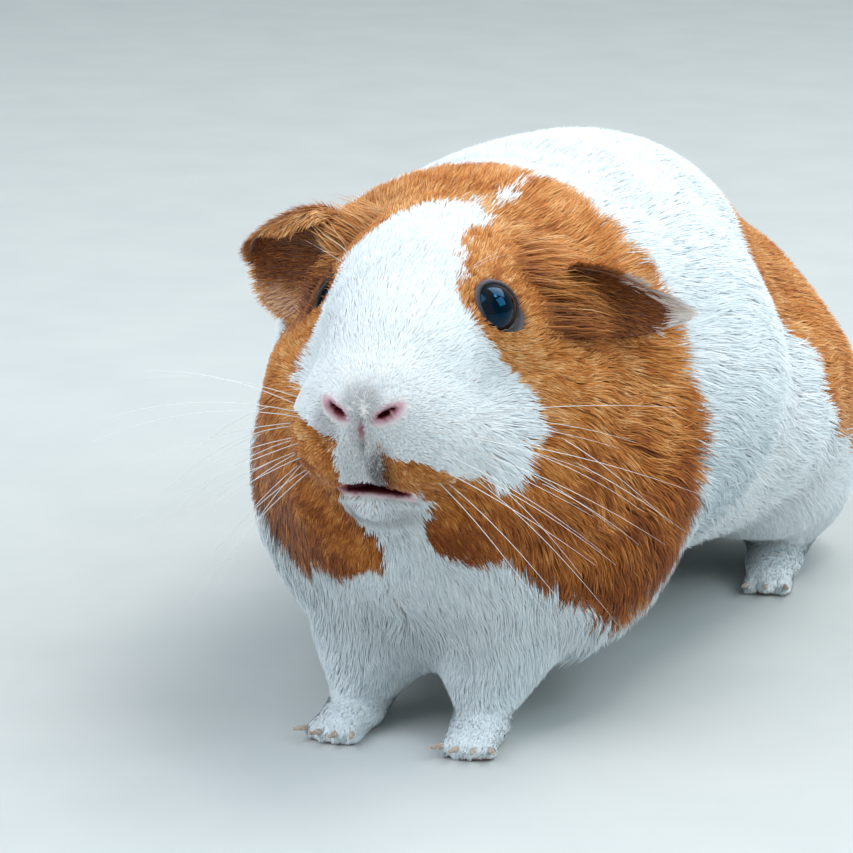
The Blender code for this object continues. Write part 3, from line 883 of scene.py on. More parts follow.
for label, values in skinNumbers.items():
    numberOn(skin, label, values)
skin.data.materials.clear()
skin.data.materials.append(skinMaterial)
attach(skin, "root")
fleshNodes = [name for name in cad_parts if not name.startswith("eye_") and "_claw_" not in name]
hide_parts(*fleshNodes)
report("skin finished")


eyeball = {"rings": 40, "spokes": 64, "bulge": 0.3, "bulgeWide": 0.75, "ringsEnd": 75}


def makeEye(word, side):
    # ball with a slightly bulging clear front, its pole on the line of sight
    rings, spokes = eyeball["rings"], eyeball["spokes"]
    points = []
    angles = []
    for ring in range(1, rings):
        angle = pi * ring / rings
        radius = face["eyeRadius"] + eyeball["bulge"] * np.exp(-(angle / eyeball["bulgeWide"]) ** 2)
        for spoke in range(spokes):
            points.append(eyeWay(side, angle, 2 * pi * spoke / spokes) * radius)
            angles.append(angle)
    axis = eyeAxes(side)[0]
    points.extend((axis * (face["eyeRadius"] + eyeball["bulge"]), -axis * face["eyeRadius"]))
    angles.extend((0, pi))
    faces = []
    for start in range(0, (rings - 2) * spokes, spokes):
        for spoke in range(spokes):
            a = start + spoke
            b = start + (spoke + 1) % spokes
            faces.append((a, a + spokes, b + spokes, b))
    front = len(points) - 2
    lastRing = (rings - 2) * spokes
    for spoke in range(spokes):
        after = (spoke + 1) % spokes
        faces.append((front, spoke, after))
        faces.append((front + 1, lastRing + after, lastRing + spoke))
    points = headTurned(np.array(points) + eyeAt[side])
    made = meshObject(f"eyeball_{word}", points, faces)
    outwards(made)
    numberOn(made, "fromPupil", np.array(angles) / radians(eyeball["ringsEnd"]))
    made.data.materials.append(eyeMaterial)
    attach(made, "root")
    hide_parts(f"eye_{word}")


makeEye("left", 1)
makeEye("right", -1)
clawMaterial = clawFinish()
for name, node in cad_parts.items():
    if "_claw_" in name:
        node.data.materials.clear()
        node.data.materials.append(clawMaterial)
report("eyes and claws")


# The coat: thin tapering tufts of hair, millimetres throughout
coat = {
    "coverage": 7.0,  # how many hairs lie over each spot
    "densest": 14.0, "footDensest": 12.0,  # roots per square millimetre
    "closerBehind": (1.9, 58, 90), "thinnerUnder": (0.55, 0.4, 0.8),
    "muzzle": 1.05, "forehead": 3.6, "neck": 10.0, "body": 13.0, "cheekMore": 5.0, "foot": 2.0,
    "noseTip": (0, 0, 79.0),
    "reach": {"forehead": (7, 32), "neck": (40, 75), "body": (75, 110)},  # off the nose, as it grows longer
    "cheekAt": ((10, 24), (8, 28), (66, 88)),
    "lidLength": (1.3, 0.35, 6.6),  # the least, more for each mm, from this far off the eye's middle
    "lengthVary": (0.75, 1.15), "widthPart": 0.6,
    "faceWidth": (0.13, 0.016), "bodyWidth": (0.24, 0.021),  # at the root, and more for each mm of length
    "footWidth": 0.12, "frontUp": (8, 20), "frontBack": (66, 92), "footUp": (10, 16),
    "legLength": (0.3, 7, 0.8),  # more for each mm up the leg past this height, and for each mm out
    "legOvals": ((14, 40, 1, 17), (37, 183, 1.3, 27)), "footTop": 14,
    "roll": 18, "stray": 0.07, "bend": 0.07, "sink": 0.15,
    "clumpShare": 0.07, "clumpPull": (0.05, 0.36), "clumpCurve": 1.4,
    "shortLevels": (0, 0.55, 1), "bodyLevels": (0, 0.45, 1), "longLevels": (0, 0.35, 0.72, 1),
    "rise": (0, 0.62, 0.94, 1.0), "lift": (0.82, 1.05), "taper": (0.75, 1, 0),
    "faceOut": 0.25, "glint": 0.2,  # how each hair's own way of facing adds to the body's
    "offFloor": 0.02,
    "patch": 0.003,  # of the bake map
}


def fromLegs(points):
    # level distance outside the oval round the nearest foot and ankle
    x, y = np.abs(points[:, 0]), points[:, 1]
    outside = []
    for atX, atY, squash, radius in coat["legOvals"]:
        outside.append(np.hypot((x - atX) * squash, y - atY) - radius)
    return np.minimum(*outside)


def hairLength(points, local):
    x, y, z = local.T
    fromNose = np.linalg.norm(local - np.array(coat["noseTip"]), axis=-1)
    length = coat["muzzle"]
    for before, there in (("muzzle", "forehead"), ("forehead", "neck"), ("neck", "body")):
        length = length + (coat[there] - coat[before]) * ramp(fromNose, *coat["reach"][there])
    sideways, back, up = coat["cheekAt"]
    cheek = ramp(np.abs(x), *sideways) * ramp(y, *back) * (1 - ramp(z, *up))
    length = length + coat["cheekMore"] * cheek
    least, perMm, clear = coat["lidLength"]
    length = np.minimum(length, least + perMm * np.maximum(fromEyes(local) - clear, 0))
    # short up the legs and round them
    perUp, clear, perOut = coat["legLength"]
    onLeg = coat["foot"] + perUp * np.maximum(points[:, 2] - clear, 0)
    return np.minimum(length, onLeg + perOut * np.maximum(fromLegs(points), 0))


# Which way the coat lies, and over which stretches each way takes over from the last
lie = {
    "headFrom": (0, -8, 82.0), "cheekWay": (0, 0.15, -0.75), "cheekSide": (10, 24), "cheekUp": (60, 92),
    "eyePart": (8, 15), "flank": (12, 50), "rumpEnd": (195, 238), "neck": (40, 80),
    "chestBack": (62, 95), "chestUp": (36, 60), "legUp": (16, 30), "soleFacing": 0.75, "toeUp": (6, 11),
    "legWay": (0, 0.12, -1.0), "toeWay": (0, -1.0, -0.25),
    "swirls": ((0.22, 7.0, 21), (0.12, 2.2, 22)),  # cowlicks and locks: radians, size, seed
}


def lieOf(points, local, normals):
    # hair lies back from the nose, down the cheeks, chest, flanks and legs, and forward on the toes
    side = np.sign(points[:, 0])[:, None]
    x, y, z = [value[:, None] for value in points.T]
    cheek = ramp(np.abs(local[:, :1]), *lie["cheekSide"]) * (1 - ramp(local[:, 2:], *lie["cheekUp"]))
    head = unit(unit(local - np.array(lie["headFrom"])) + cheek * np.array(lie["cheekWay"]))
    # it parts before each eye
    for eye in eyeAt.values():
        toEye = eye - local
        away = np.linalg.norm(toEye, axis=-1, keepdims=True)
        toEye = toEye / away
        meets = np.maximum((head * toEye).sum(-1, keepdims=True), 0)
        head = head - toEye * meets * (1 - ramp(away, *lie["eyePart"]))
    flank = ramp(np.abs(x), *lie["flank"])  # 0 along the back
    end = ramp(y, *lie["rumpEnd"])  # turns down over the rump
    body = np.concatenate([0.05 * side * flank, 1 - 0.8 * end, -0.45 * flank - 0.9 * end], -1)
    way = unit(head) * (1 - ramp(y, *lie["neck"])) + unit(body) * ramp(y, *lie["neck"])
    chest = (1 - ramp(y, *lie["chestBack"])) * (1 - ramp(z, *lie["chestUp"]))  # straight down
    way = way * (1 - chest) + chest * np.concatenate([0.2 * side, 0.2 + 0 * y, -1 + 0 * z], -1)
    # down, but not on the soles
    leg = (1 - ramp(z, *lie["legUp"])) * (np.abs(normals[:, 2:]) < lie["soleFacing"])
    way = way * (1 - leg) + leg * np.array(lie["legWay"])
    toe = 1 - ramp(z, *lie["toeUp"])
    way = way * (1 - toe) + toe * np.array(lie["toeWay"])
    way = way - normals * (way * normals).sum(-1, keepdims=True)
    way = unit(way + 1e-6)
    turn = sum(swing * ripple(points, size, seed) for swing, size, seed in lie["swirls"])
    turn = (turn + coat["stray"] * chance.normal(size=len(points)))[:, None]
    return way * np.cos(turn) + np.cross(normals, way) * np.sin(turn)


def rootsOn(corners, normals, density):
    # evenly spread random roots over these triangles, and their normals
    a, b, c = corners.swapaxes(0, 1)
    area = np.linalg.norm(np.cross(b - a, c - a), axis=-1) / 2
    wanted = np.cumsum(area * density)
    picks = np.searchsorted(wanted, np.arange(int(wanted[-1])) + chance.random(int(wanted[-1])))
    picks = np.minimum(picks, len(area) - 1)
    u, v = chance.random((2, len(picks)))
    u, v = np.where(u + v > 1, 1 - u, u), np.where(u + v > 1, 1 - v, v)
    weights = np.stack([1 - u - v, u, v], -1)[..., None]
    return (corners[picks] * weights).sum(1), unit((normals[picks] * weights).sum(1))


def growHair(roots, normals, way, length, depth, distance, levels):
    # places of each hair's middle line at each level, following the surface at its height
    rise = np.interp(levels, coat["longLevels"], coat["rise"])
    lift = chance.uniform(*coat["lift"], len(roots))
    bend = np.cross(normals, way) * (chance.normal(size=len(roots)) * coat["bend"] * length)[:, None]
    places = [roots - normals * coat["sink"]]
    for share, high in zip(levels[1:], rise[1:]):
        place = roots + way * (share * length)[:, None] + bend * share**2
        off = depth * high * lift - distance(place)
        off = np.clip(off, -0.9 * length, 0.9 * length)
        places.append(place + normals * off[:, None])
    return np.stack(places, 1)


def clumped(places, levels, share=coat["clumpShare"]):
    # hairs lean together at their tips, towards the nearest of a few of them
    count = len(places)
    leaders = chance.choice(count, max(1, int(count * share)), replace=False)
    tree = KDTree(len(leaders))
    for number, leader in enumerate(leaders):
        tree.insert(places[leader, 0], number)
    tree.balance()
    nearest = leaders[np.array([tree.find(place)[1] for place in places[:, 0]])]
    pull = chance.uniform(*coat["clumpPull"], count)[:, None, None]
    together = pull * (np.array(levels) ** coat["clumpCurve"])[None, :, None]
    return places + (places[nearest] - places) * together, nearest


def makeTufts(name, places, normals, width, chart, numbers, levels):
    # one joined mesh of flat tapering tufts; numbers hold a value for each hair
    count, steps = len(places), len(levels)
    way = unit(np.diff(places, axis=1))
    way = np.concatenate([way, way[:, -1:]], 1)
    roll = np.radians(coat["roll"]) * chance.uniform(-1, 1, count)[:, None, None]
    across = unit(np.cross(way, normals[:, None, :]))
    facing = np.cross(across, way)
    side = across * np.cos(roll) + facing * np.sin(roll)
    flat = facing * np.cos(roll) - across * np.sin(roll)
    taper = np.interp(levels, (0, 0.5, 1), coat["taper"])[None, :, None] * width[:, None, None] / 2
    left, right = places - side * taper, places + side * taper
    points = np.stack([left[:, :-1], right[:, :-1]], 2).reshape(count, -1, 3)
    points = np.concatenate([points, places[:, -1:]], 1)
    points[..., 2] = np.maximum(points[..., 2], coat["offFloor"])
    each = points.shape[1]
    # each hair catches the light a little differently
    tilt = side * (chance.normal(size=count) * coat["glint"])[:, None, None]
    soft = unit(normals[:, None, :] + flat * coat["faceOut"] + tilt)
    soft = np.concatenate([np.repeat(soft[:, :-1], 2, axis=1), soft[:, -1:]], 1)
    rows = []
    for step in range(steps - 2):
        a = 2 * step
        rows += [(a, a + 1, a + 3), (a, a + 3, a + 2)]
    rows.append((each - 3, each - 2, each - 1))
    corners = (np.arange(count)[:, None, None] * each + np.array(rows)).reshape(-1)
    data = bpy.data.meshes.new(name)
    data.vertices.add(count * each)
    data.vertices.foreach_set("co", placed(points).reshape(-1).astype(np.float32))
    data.loops.add(len(corners))
    data.loops.foreach_set("vertex_index", corners.astype(np.int32))
    data.polygons.add(len(corners) // 3)
    data.polygons.foreach_set("loop_start", np.arange(0, len(corners), 3, dtype=np.int32))
    data.update(calc_edges=True)
    data.polygons.foreach_set("use_smooth", np.ones(len(corners) // 3, bool))
    high = np.concatenate([np.repeat(levels[:-1], 2), levels[-1:]])
    sideways = np.concatenate([np.tile((0, 1), steps - 1), (0.5,)])
    patch = np.stack([sideways - 0.5, high - 0.5], -1) * coat["patch"]
    low, top = chart.min(0), chart.max(0)
    chart = 0.01 + 0.98 * (chart - low) / np.maximum(top - low, 1e-6)
    flatMap = (chart[:, None, :] + patch).reshape(-1, 2)
    layer = data.uv_layers.new(name="OFBake")
    layer.data.foreach_set("uv", flatMap[corners].reshape(-1).astype(np.float32))
    made = bpy.data.objects.new(name, data)
    bpy.context.collection.objects.link(made)
    numberOn(made, "along", np.tile(high, count))
    for label, values in numbers.items():
        numberOn(made, label, np.repeat(values, each))
    data.normals_split_custom_set_from_vertices(soft.reshape(-1, 3))
    data.materials.append(hairMaterial)
    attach(made, "root")
    return made


split = np.concatenate([skinFaces[:, [0, 1, 2]], skinFaces[:, [0, 2, 3]]])
gradient = unit(slopeOf(skinDistance, skinPoints)[1])
corners, cornerNormals = skinPoints[split], gradient[split]
middle = corners.mean(1)
middleLocal = headTurned(middle, -flesh["headTurn"])
length = hairLength(middle, middleLocal)


def hairWidth(points, length):
    front = (1 - ramp(points[:, 1], *coat["frontBack"])) * ramp(points[:, 2], *coat["frontUp"])
    onFace, onBody = [base + more * length for base, more in (coat["faceWidth"], coat["bodyWidth"])]
    onFoot = coat["footWidth"] * (1 - ramp(points[:, 2], *coat["footUp"]))
    return onFace * front + (onBody + onFoot) * (1 - front)


def onFeet(points):
    return (points[:, 2] < coat["footTop"]) & (fromLegs(points) < 0)


density = coat["coverage"] / (coat["widthPart"] * length * hairWidth(middle, length))
density = np.minimum(density, coat["densest"])
more, low, high = coat["closerBehind"]
density = density * (middle[:, 2] > 0.9) * (1 + more * ramp(middle[:, 1], low, high))
# fewer under the belly, and on the feet
less, low, high = coat["thinnerUnder"]
density = density * (1 - less * ramp(-cornerNormals.mean(1)[:, 2], low, high) * (middle[:, 2] > 9))
density = np.where(onFeet(middle), np.minimum(density, coat["footDensest"]), density)
roots, rootNormals = rootsOn(corners, cornerNormals, density)
local = headTurned(roots, -flesh["headTurn"])
# Bare on the nose, in the mouth, at the lids and on the soles; the edges are ragged
bareSkin = {
    "nose": (-0.2, 0.9), "hole": 0.8, "eye": 5.8, "sole": 0.6,
    "leftLid": (1, 6, 27, 33), "rightLid": -6, "lidRagged": 3,  # degrees
}
ragged = chance.uniform(0, 1, len(roots))
least, more, low, high = bareSkin["leftLid"]
lidBare = np.where(local[:, 0] > 0, least + more * ramp(local[:, 1], low, high), bareSkin["rightLid"])
noseEdge, noseRagged = bareSkin["nose"]
bare = nearNostril(local) < noseEdge + noseRagged * ragged
bare |= nearHole(local) < bareSkin["hole"]
bare |= pastLid(local) < lidBare + bareSkin["lidRagged"] * ragged
bare |= fromEyes(local) < bareSkin["eye"]
bare |= roots[:, 2] < bareSkin["sole"]
roots, rootNormals, local = roots[~bare], rootNormals[~bare], local[~bare]
report(f"{len(roots)} roots")

length = hairLength(roots, local) * chance.uniform(*coat["lengthVary"], len(roots))
width = hairWidth(roots, length)
way = lieOf(roots, local, rootNormals)
depth = coatDepth(roots) + 0.1
# Each piece of the coat: from and to along the body, and how its hairs are divided
regions = {
    "muzzle_coat": (-20, 30, "shortLevels"),
    "cheek_coat": (30, 47, "longLevels"),
    "temple_coat": (47, 63, "longLevels"),
    "neck_coat": (63, 90, "bodyLevels"),
    "shoulder_coat": (90, 122, "bodyLevels"),
    "flank_coat": (122, 158, "bodyLevels"),
    "haunch_coat": (158, 191, "bodyLevels"),
    "rump_coat": (191, 300, "bodyLevels"),
}
isFoot = onFeet(roots)
# What the flat maps of the coat are opened out round, and how far apart they lie on them
charts = {
    "headMiddle": (0, 44, 78.0), "trunkHeight": 55, "trunkScale": 60,
    "legs": ((14, 38), (38, 186)), "halfway": 110, "legTurn": 7, "legScale": 12,
}


def chartOf(name, places):
    # where each root lies on an unwrap: the face opened out round the nose, the body unrolled
    if name == "muzzle_coat":
        out = unit(places - np.array(charts["headMiddle"]))
        bend = np.arccos(np.clip(-out[:, 1], -1, 1))
        turn = np.arctan2(out[:, 2], out[:, 0])
        return np.stack([bend * np.cos(turn), bend * np.sin(turn)], -1)
    if name == "foot_coat":
        # unrolled round each leg, the four side by side
        fore = places[:, 1] < charts["halfway"]
        legX, legY = [np.where(fore, *pair) for pair in zip(*charts["legs"])]
        turn = np.arctan2(np.abs(places[:, 0]) - legX, places[:, 1] - legY)
        which = (places[:, 0] > 0) * 1 + fore * 2
        return np.stack([turn / charts["legTurn"] + which, places[:, 2] / charts["legScale"]], -1)
    turn = np.arctan2(places[:, 0], places[:, 2] - charts["trunkHeight"])
    return np.stack([turn, places[:, 1] / charts["trunkScale"]], -1)


# Greyer hair: grey fuzz round the nose, painted shadow beside the philtrum's groove and painted shade under
# the mouth. Centre, radii and how grey
greyAndShade = {
    # painted shadow beside the philtrum's groove
    "grooveShadow": ((3.4, 2.5, 69.5), (3.4, 6, 6.2), 1.0),
    "groove": ((-1, 1, 70), (5, 6, 7), 0.22),
    "rightNostril": ((-7, 1.5, 77), (3.5, 4, 4.5), 0.48),
    # painted shade under the mouth
    "underMouthShade": ((0, 12, 58), (10, 8, 4), 0.5),
    "betweenNostrils": ((0, 0, 77), (3, 4, 6), 0.4),
    "aboveNostrils": ((0, 0, 81.5), (4.2, 4, 4.5), 0.42),
}
# Shade runs from 0, the deepest of a colour, to 1, the palest
tones = {
    "middle": 0.5, "own": 0.15, "clump": 0.13, "ragged": 0.5,
    "paintedShadeDepth": 0.47, "paintedShadeHeights": (44, 78), "paintedShadeEnds": 100,  # painted shade: the ginger is darker low on the jaw than on the crown
    "faceWhite": 0.62, "faceEven": 0.5, "faceEnds": (50, 90), "seenAt": 0.6, "fromClump": 0.5,
    "beforeEar": (-25, 45, 95.0), "beforeEarReach": (8, 14), "beforeEarShadeBrown": 0.85,
}


def greyAndShadeAt(local):
    total = np.zeros(len(local))
    for centre, radii, strength in greyAndShade.values():
        near = np.linalg.norm((local - np.array(centre)) / np.array(radii), axis=-1)
        total = np.maximum(total, strength * (1 - ramp(near, 0.5, 1.25)))
    return total


def coverWith(name, chosen, kind):
    levels = np.array(coat[kind])
    at, out, along = roots[chosen], rootNormals[chosen], way[chosen]
    places = growHair(at, out, along, length[chosen], depth[chosen], skinDistance, levels)
    places, nearest = clumped(places, levels)
    # a hair takes its colour from where its outer part lies, and partly from its clump
    seen = at + along * (tones["seenAt"] * length[chosen])[:, None]
    mark = gingerAt(seen)
    mark = (1 - tones["fromClump"]) * mark + tones["fromClump"] * mark[nearest]
    mark = mark + chance.normal(size=len(at)) * tones["ragged"]
    own, clump = chance.normal(size=(2, len(at)))
    shade = tones["middle"] + tones["own"] * own + tones["clump"] * clump[nearest]
    # the hair before the right ear is brown, painted shade beside the ear's hollow
    before = np.linalg.norm(seen - headTurned(np.array(tones["beforeEar"])), axis=-1)
    brown = tones["beforeEarShadeBrown"] * (1 - ramp(before, *tones["beforeEarReach"])) * (mark > 0)
    # painted shade: the hair is darker lower down on the head and neck
    lowPaintedShade = (1 - ramp(at[:, 2], *tones["paintedShadeHeights"])) * (at[:, 1] < tones["paintedShadeEnds"])
    shade = shade - tones["paintedShadeDepth"] * lowPaintedShade
    # white hair is more even on the face
    even = tones["faceEven"] * (1 - ramp(at[:, 1], *tones["faceEnds"]))
    shade = np.where(mark > 0, shade, shade + (tones["faceWhite"] - shade) * even)
    numbers = {
        "ginger": mark > 0, "hairShade": np.clip(shade, 0, 1), "earBrownAndShade": brown,
        "greyAndShade": greyAndShadeAt(headTurned(at, -flesh["headTurn"])),
    }
    made = makeTufts(name, places, out, width[chosen], chartOf(name, at), numbers, levels)
    report(f"{name}, {len(at)} tufts, {len(made.data.polygons)} triangles")


for name, (low, high, kind) in regions.items():
    coverWith(name, (roots[:, 1] >= low) & (roots[:, 1] < high) & ~isFoot, kind)
coverWith("foot_coat", isFoot, "shortLevels")

# Hair on and round the ears: short on the sheet, a fringe along the rim, and locks from the
# temple that sweep back over the opening
earCoat = {
    # the outer hair is paler: painted light on the ear's upward-facing fold
    "outer": {"count": 5200, "long": 3.2, "span": (0.12, 1.0), "brown": 0.0, "lift": 0.5, "shade": 0.74},
    "inner": {"count": 3600, "long": 2.8, "span": (0.15, 0.97), "brown": 1.0, "lift": 0.6, "shade": 0.64},
    "rim": {"count": 1700, "long": 2.6, "span": (0.94, 1.0), "brown": 0.0, "lift": 0.2, "shade": 0.6},
    "width": 0.2, "shadeVary": 0.2, "stray": 0.14, "vary": (0.65, 1.15), "rootHeight": 0.42,
    # the pale hairs at the left ear's end: how far out, about which angle, and the point they run to
    "pale": {"out": 0.93, "ragged": 0.02, "turn": -0.2, "half": 0.34, "ginger": 0.3},
    "point": {"turn": -0.08, "half": 0.2, "at": (-5, 1.24), "longer": 2.4, "stray": 0.25},
    # the right ear's hollow: hair is shorter under the tucked edge, the lobe is paler as painted light, and
    # the hair higher up is browner as painted shade
    "underTuck": 0.65, "tuckOut": (0.4, 0.6), "tuckTurn": (0.1, 0.4),
    "lobeLitPaler": 0.16, "lobeHeights": (86, 91), "hollowShadeHeights": (88, 92),
}
locks = {
    "every": {
        "share": 0.35, "shade": 0.5, "brown": 1, "brownFrom": (101, 92), "brownRagged": 3, "clear": 30,
        "stray": 0.1, "arch": (0, 0.6, 1, 0.8), "flatter": 0.6, "short": 0.9,
        "spotVary": (0.5, 1), "longVary": (0.7, 1.1), "liftVary": (0.5, 1.1),
    },
    "left": (
        {"from": (25, 43, 97), "to": (44, 68, 84), "within": 13, "long": 16, "lift": 4.0},
        {"from": (22, 46, 106), "to": (43, 68, 97), "within": 11, "long": 15, "lift": 3.4},
    ),
    "right": (
        {"from": (-21, 44, 95), "to": (-38, 60, 92), "within": 10, "long": 11, "lift": 2.5},
        # painted light: the crown lock over the fold is paler
        {"from": (-19, 52, 108), "to": (-40, 62, 110), "within": 12, "long": 15, "lift": 4.5,
         "shade": 0.62, "brown": 0},
        {"from": (-13.5, 31.5, 98), "to": (-24, 44, 94), "within": 6, "long": 5.5, "lift": 1.0, "clear": 4},
    ),
}


def sheetHair(ear, part, levels):
    # short hair on one side of an ear's sheet, or along its rim
    count = part["count"]
    inner = part is earCoat["inner"]
    pale, point = earCoat["pale"], earCoat["point"]
    low, high = part["span"]
    out = np.sqrt(chance.uniform(low**2, high**2, count))
    turn = radians(ears["fan"]) * chance.uniform(-1, 1, count)
    here, ahead, normal = earFrame(ear, turn, out)
    hollow = -normal * np.sign(np.median(normal[:, 1]))
    up = hollow if inner else -hollow
    long = part["long"] * chance.uniform(*earCoat["vary"], count)
    isPale = out > pale["out"] + pale["ragged"] * chance.normal(size=count)
    isPale &= (np.abs(turn - pale["turn"]) < pale["half"]) & (ear["side"] > 0)
    toTurn, toOut = point["at"]
    toPoint = earSheet(ear, radians(toTurn), toOut) - here
    way = unit(ahead + earCoat["stray"] * chance.normal(size=(count, 3)))
    atEnd = isPale & (np.abs(turn - point["turn"]) < point["half"])
    way = np.where(atEnd[:, None], unit(unit(toPoint) + point["stray"] * way), way)
    long = np.where(atEnd, np.minimum(long * point["longer"], np.linalg.norm(toPoint, axis=-1)), long)
    if inner and ear["tuck"]:
        shorter = earCoat["underTuck"] * ramp(out, *earCoat["tuckOut"]) * ramp(-turn, *earCoat["tuckTurn"])
        long = long * (1 - shorter)
    root = here + up * (earThick(out) * earCoat["rootHeight"])[:, None]
    rise = part["lift"] * np.sin(levels * 2.0)
    places = root[:, None] + way[:, None] * (long[:, None] * levels)[..., None]
    places = places + up[:, None] * rise[None, :, None]
    chart = np.stack([turn / 4 + inner * 2, out], -1)
    brown = np.full(count, part["brown"])
    ginger = np.ones(count)
    # painted shade high in the right ear's hollow, and painted light on its lobe
    if ear["side"] < 0:
        ginger = 1 - earCoat["lobeLitPaler"] * (1 - ramp(here[:, 2], *earCoat["lobeHeights"])) * inner
        brown *= ramp(here[:, 2], *earCoat["hollowShadeHeights"])
    brown = np.where(isPale, 0, brown)
    ginger = np.where(isPale, pale["ginger"], ginger)
    shade = np.full(count, part["shade"]) + earCoat["shadeVary"] * chance.normal(size=count)
    return places, up, chart, brown, ginger, shade


def lockHair(lock, levels):
    # longer hair rooted before the ear
    lock = {**locks["every"], **lock}
    within = lock["within"] * chance.uniform(*lock["spotVary"], len(local))
    near = np.linalg.norm(local - np.array(lock["from"]), axis=-1) < within
    near &= (pastLid(local) > lock["clear"]) & (chance.random(len(local)) < lock["share"])
    root, normal = roots[near], rootNormals[near]
    target = headTurned(np.array(lock["to"]))
    way = unit(target - root)
    along = way - normal * (way * normal).sum(-1, keepdims=True) * lock["flatter"]
    way = unit(along + lock["stray"] * chance.normal(size=root.shape))
    long = np.minimum(lock["long"], np.linalg.norm(target - root, axis=-1) * lock["short"])
    long = long * chance.uniform(*lock["longVary"], len(root))
    high = lock["lift"] * chance.uniform(*lock["liftVary"], len(root))
    rise = np.interp(levels, coat["longLevels"], lock["arch"])
    places = root[:, None] + way[:, None] * (long[:, None] * levels)[..., None]
    places = places + normal[:, None] * (high[:, None] * rise)[..., None]
    chart = np.stack([4 + root[:, 1] / 20, root[:, 2] / 100], -1)
    ragged = local[near][:, 2] + lock["brownRagged"] * chance.normal(size=len(root))
    # painted shade: the locks are brown low down, over the ear's shaded hollow
    brown = lock["brown"] * ramp(ragged, *lock["brownFrom"])
    shade = lock["shade"] + earCoat["shadeVary"] * chance.normal(size=len(root))
    return places, normal, chart, np.clip(brown, 0, 1), np.ones(len(root)), shade


for word in ("left", "right"):
    levels = np.array(coat["longLevels"])
    rows = [sheetHair(ears[word], earCoat[part], levels) for part in ("outer", "inner", "rim")]
    rows += [lockHair(lock, levels) for lock in locks[word]]
    places, up, chart, brown, ginger, shade = [np.concatenate(values) for values in zip(*rows)]
    numbers = {"ginger": ginger, "hairShade": np.clip(shade, 0, 1), "earBrownAndShade": brown}
    widths = np.full(len(places), earCoat["width"])
    made = makeTufts(f"ear_{word}_coat", places, up, widths, chart, numbers, levels)
report("ear coats")

# Whiskers and the few long hairs of brow and cheek, each a line that bends down to its tip
whiskers = {
    "rows": 4, "columns": 4, "thick": 0.1, "steps": 10, "sides": 5, "spot": 0.5,
    "root": (11.5, 4.5, 76.5), "across": (1.6, 3.4, 0.2), "down": (0.6, 0.6, -3.6),
    "aim": (1.0, -0.05, 0.10), "turn": (0, 0.16, -0.3),  # and how it turns from column to column, row to row
    "long": (44, 27), "vary": (0.75, 1.25), "droop": (0.1, 0.34), "sag": (0, 0.25, -1.0), "stray": 0.09,
    "fine": 0.55, "fineUnder": 20, "taper": 0.85,
    "singles": (
        {"roots": ((10.5, 26, 104), (12.5, 30, 105)), "aim": (0.75, 0.25, 0.75), "stray": 0.16,
         "long": 14, "vary": (0.7, 1.2)},
        {"roots": ((29, 27, 74), (31, 33, 66), (27, 24, 63)), "aim": (0.75, 0.3, -0.35), "stray": 0.12,
         "long": 26, "vary": (0.8, 1.2)},
    ),
}


def whiskerLines():
    # each whisker's root, aim, length and side
    lines = []
    across, down = np.array(whiskers["across"]), np.array(whiskers["down"])
    topLong, lowLong = whiskers["long"]
    for side in (1, -1):
        for row in range(whiskers["rows"]):
            for column in range(whiskers["columns"]):
                root = np.array(whiskers["root"]) + across * column + down * row
                root = root + chance.normal(size=3) * whiskers["spot"]
                aim = np.array(whiskers["aim"]) + np.array(whiskers["turn"]) * (0, column, row)
                aim = aim + chance.normal(size=3) * whiskers["stray"]
                long = topLong - (topLong - lowLong) * row / whiskers["rows"]
                lines.append((root, aim, long * chance.uniform(*whiskers["vary"]), side))
        for hair in whiskers["singles"]:
            for root in hair["roots"]:
                aim = np.array(hair["aim"]) + chance.normal(size=3) * hair["stray"]
                lines.append((np.array(root), aim, hair["long"] * chance.uniform(*hair["vary"]), side))
    return lines


def whiskerTree():
    # lines swept with a thin ring
    tree = bpy.data.node_groups.new("whiskers", "GeometryNodeTree")
    tree.interface.new_socket("Lines", in_out="INPUT", socket_type="NodeSocketGeometry")
    thickness = tree.interface.new_socket("Thickness", in_out="INPUT", socket_type="NodeSocketFloat")
    sides = tree.interface.new_socket("Sides", in_out="INPUT", socket_type="NodeSocketInt")
    tree.interface.new_socket("Whiskers", in_out="OUTPUT", socket_type="NodeSocketGeometry")
    given = tree.nodes.new("NodeGroupInput").outputs
    curve = addNode(tree, "GeometryNodeMeshToCurve", {"Mesh": given["Lines"]})
    thin = addNode(tree, "GeometryNodeInputNamedAttribute", {"Name": "thin"}, data_type="FLOAT")
    radius = {0: thin.outputs["Attribute"], 1: given["Thickness"]}
    radius = addNode(tree, "ShaderNodeMath", radius, operation="MULTIPLY")
    ring = addNode(tree, "GeometryNodeCurvePrimitiveCircle", {"Resolution": given["Sides"], "Radius": 1.0})
    solid = addNode(tree, "GeometryNodeCurveToMesh", {
        "Curve": curve.outputs["Curve"], "Profile Curve": ring.outputs["Curve"],
        "Scale": radius.outputs[0], "Fill Caps": True,
    })
    real = addNode(tree, "GeometryNodeRealizeInstances", {"Geometry": solid.outputs["Mesh"]})
    dressed = {"Geometry": real.outputs["Geometry"], "Material": whiskerFinish()}
    dressed = addNode(tree, "GeometryNodeSetMaterial", dressed)
    addNode(tree, "NodeGroupOutput", {"Whiskers": dressed.outputs["Geometry"]})
    return tree, thickness.identifier, sides.identifier


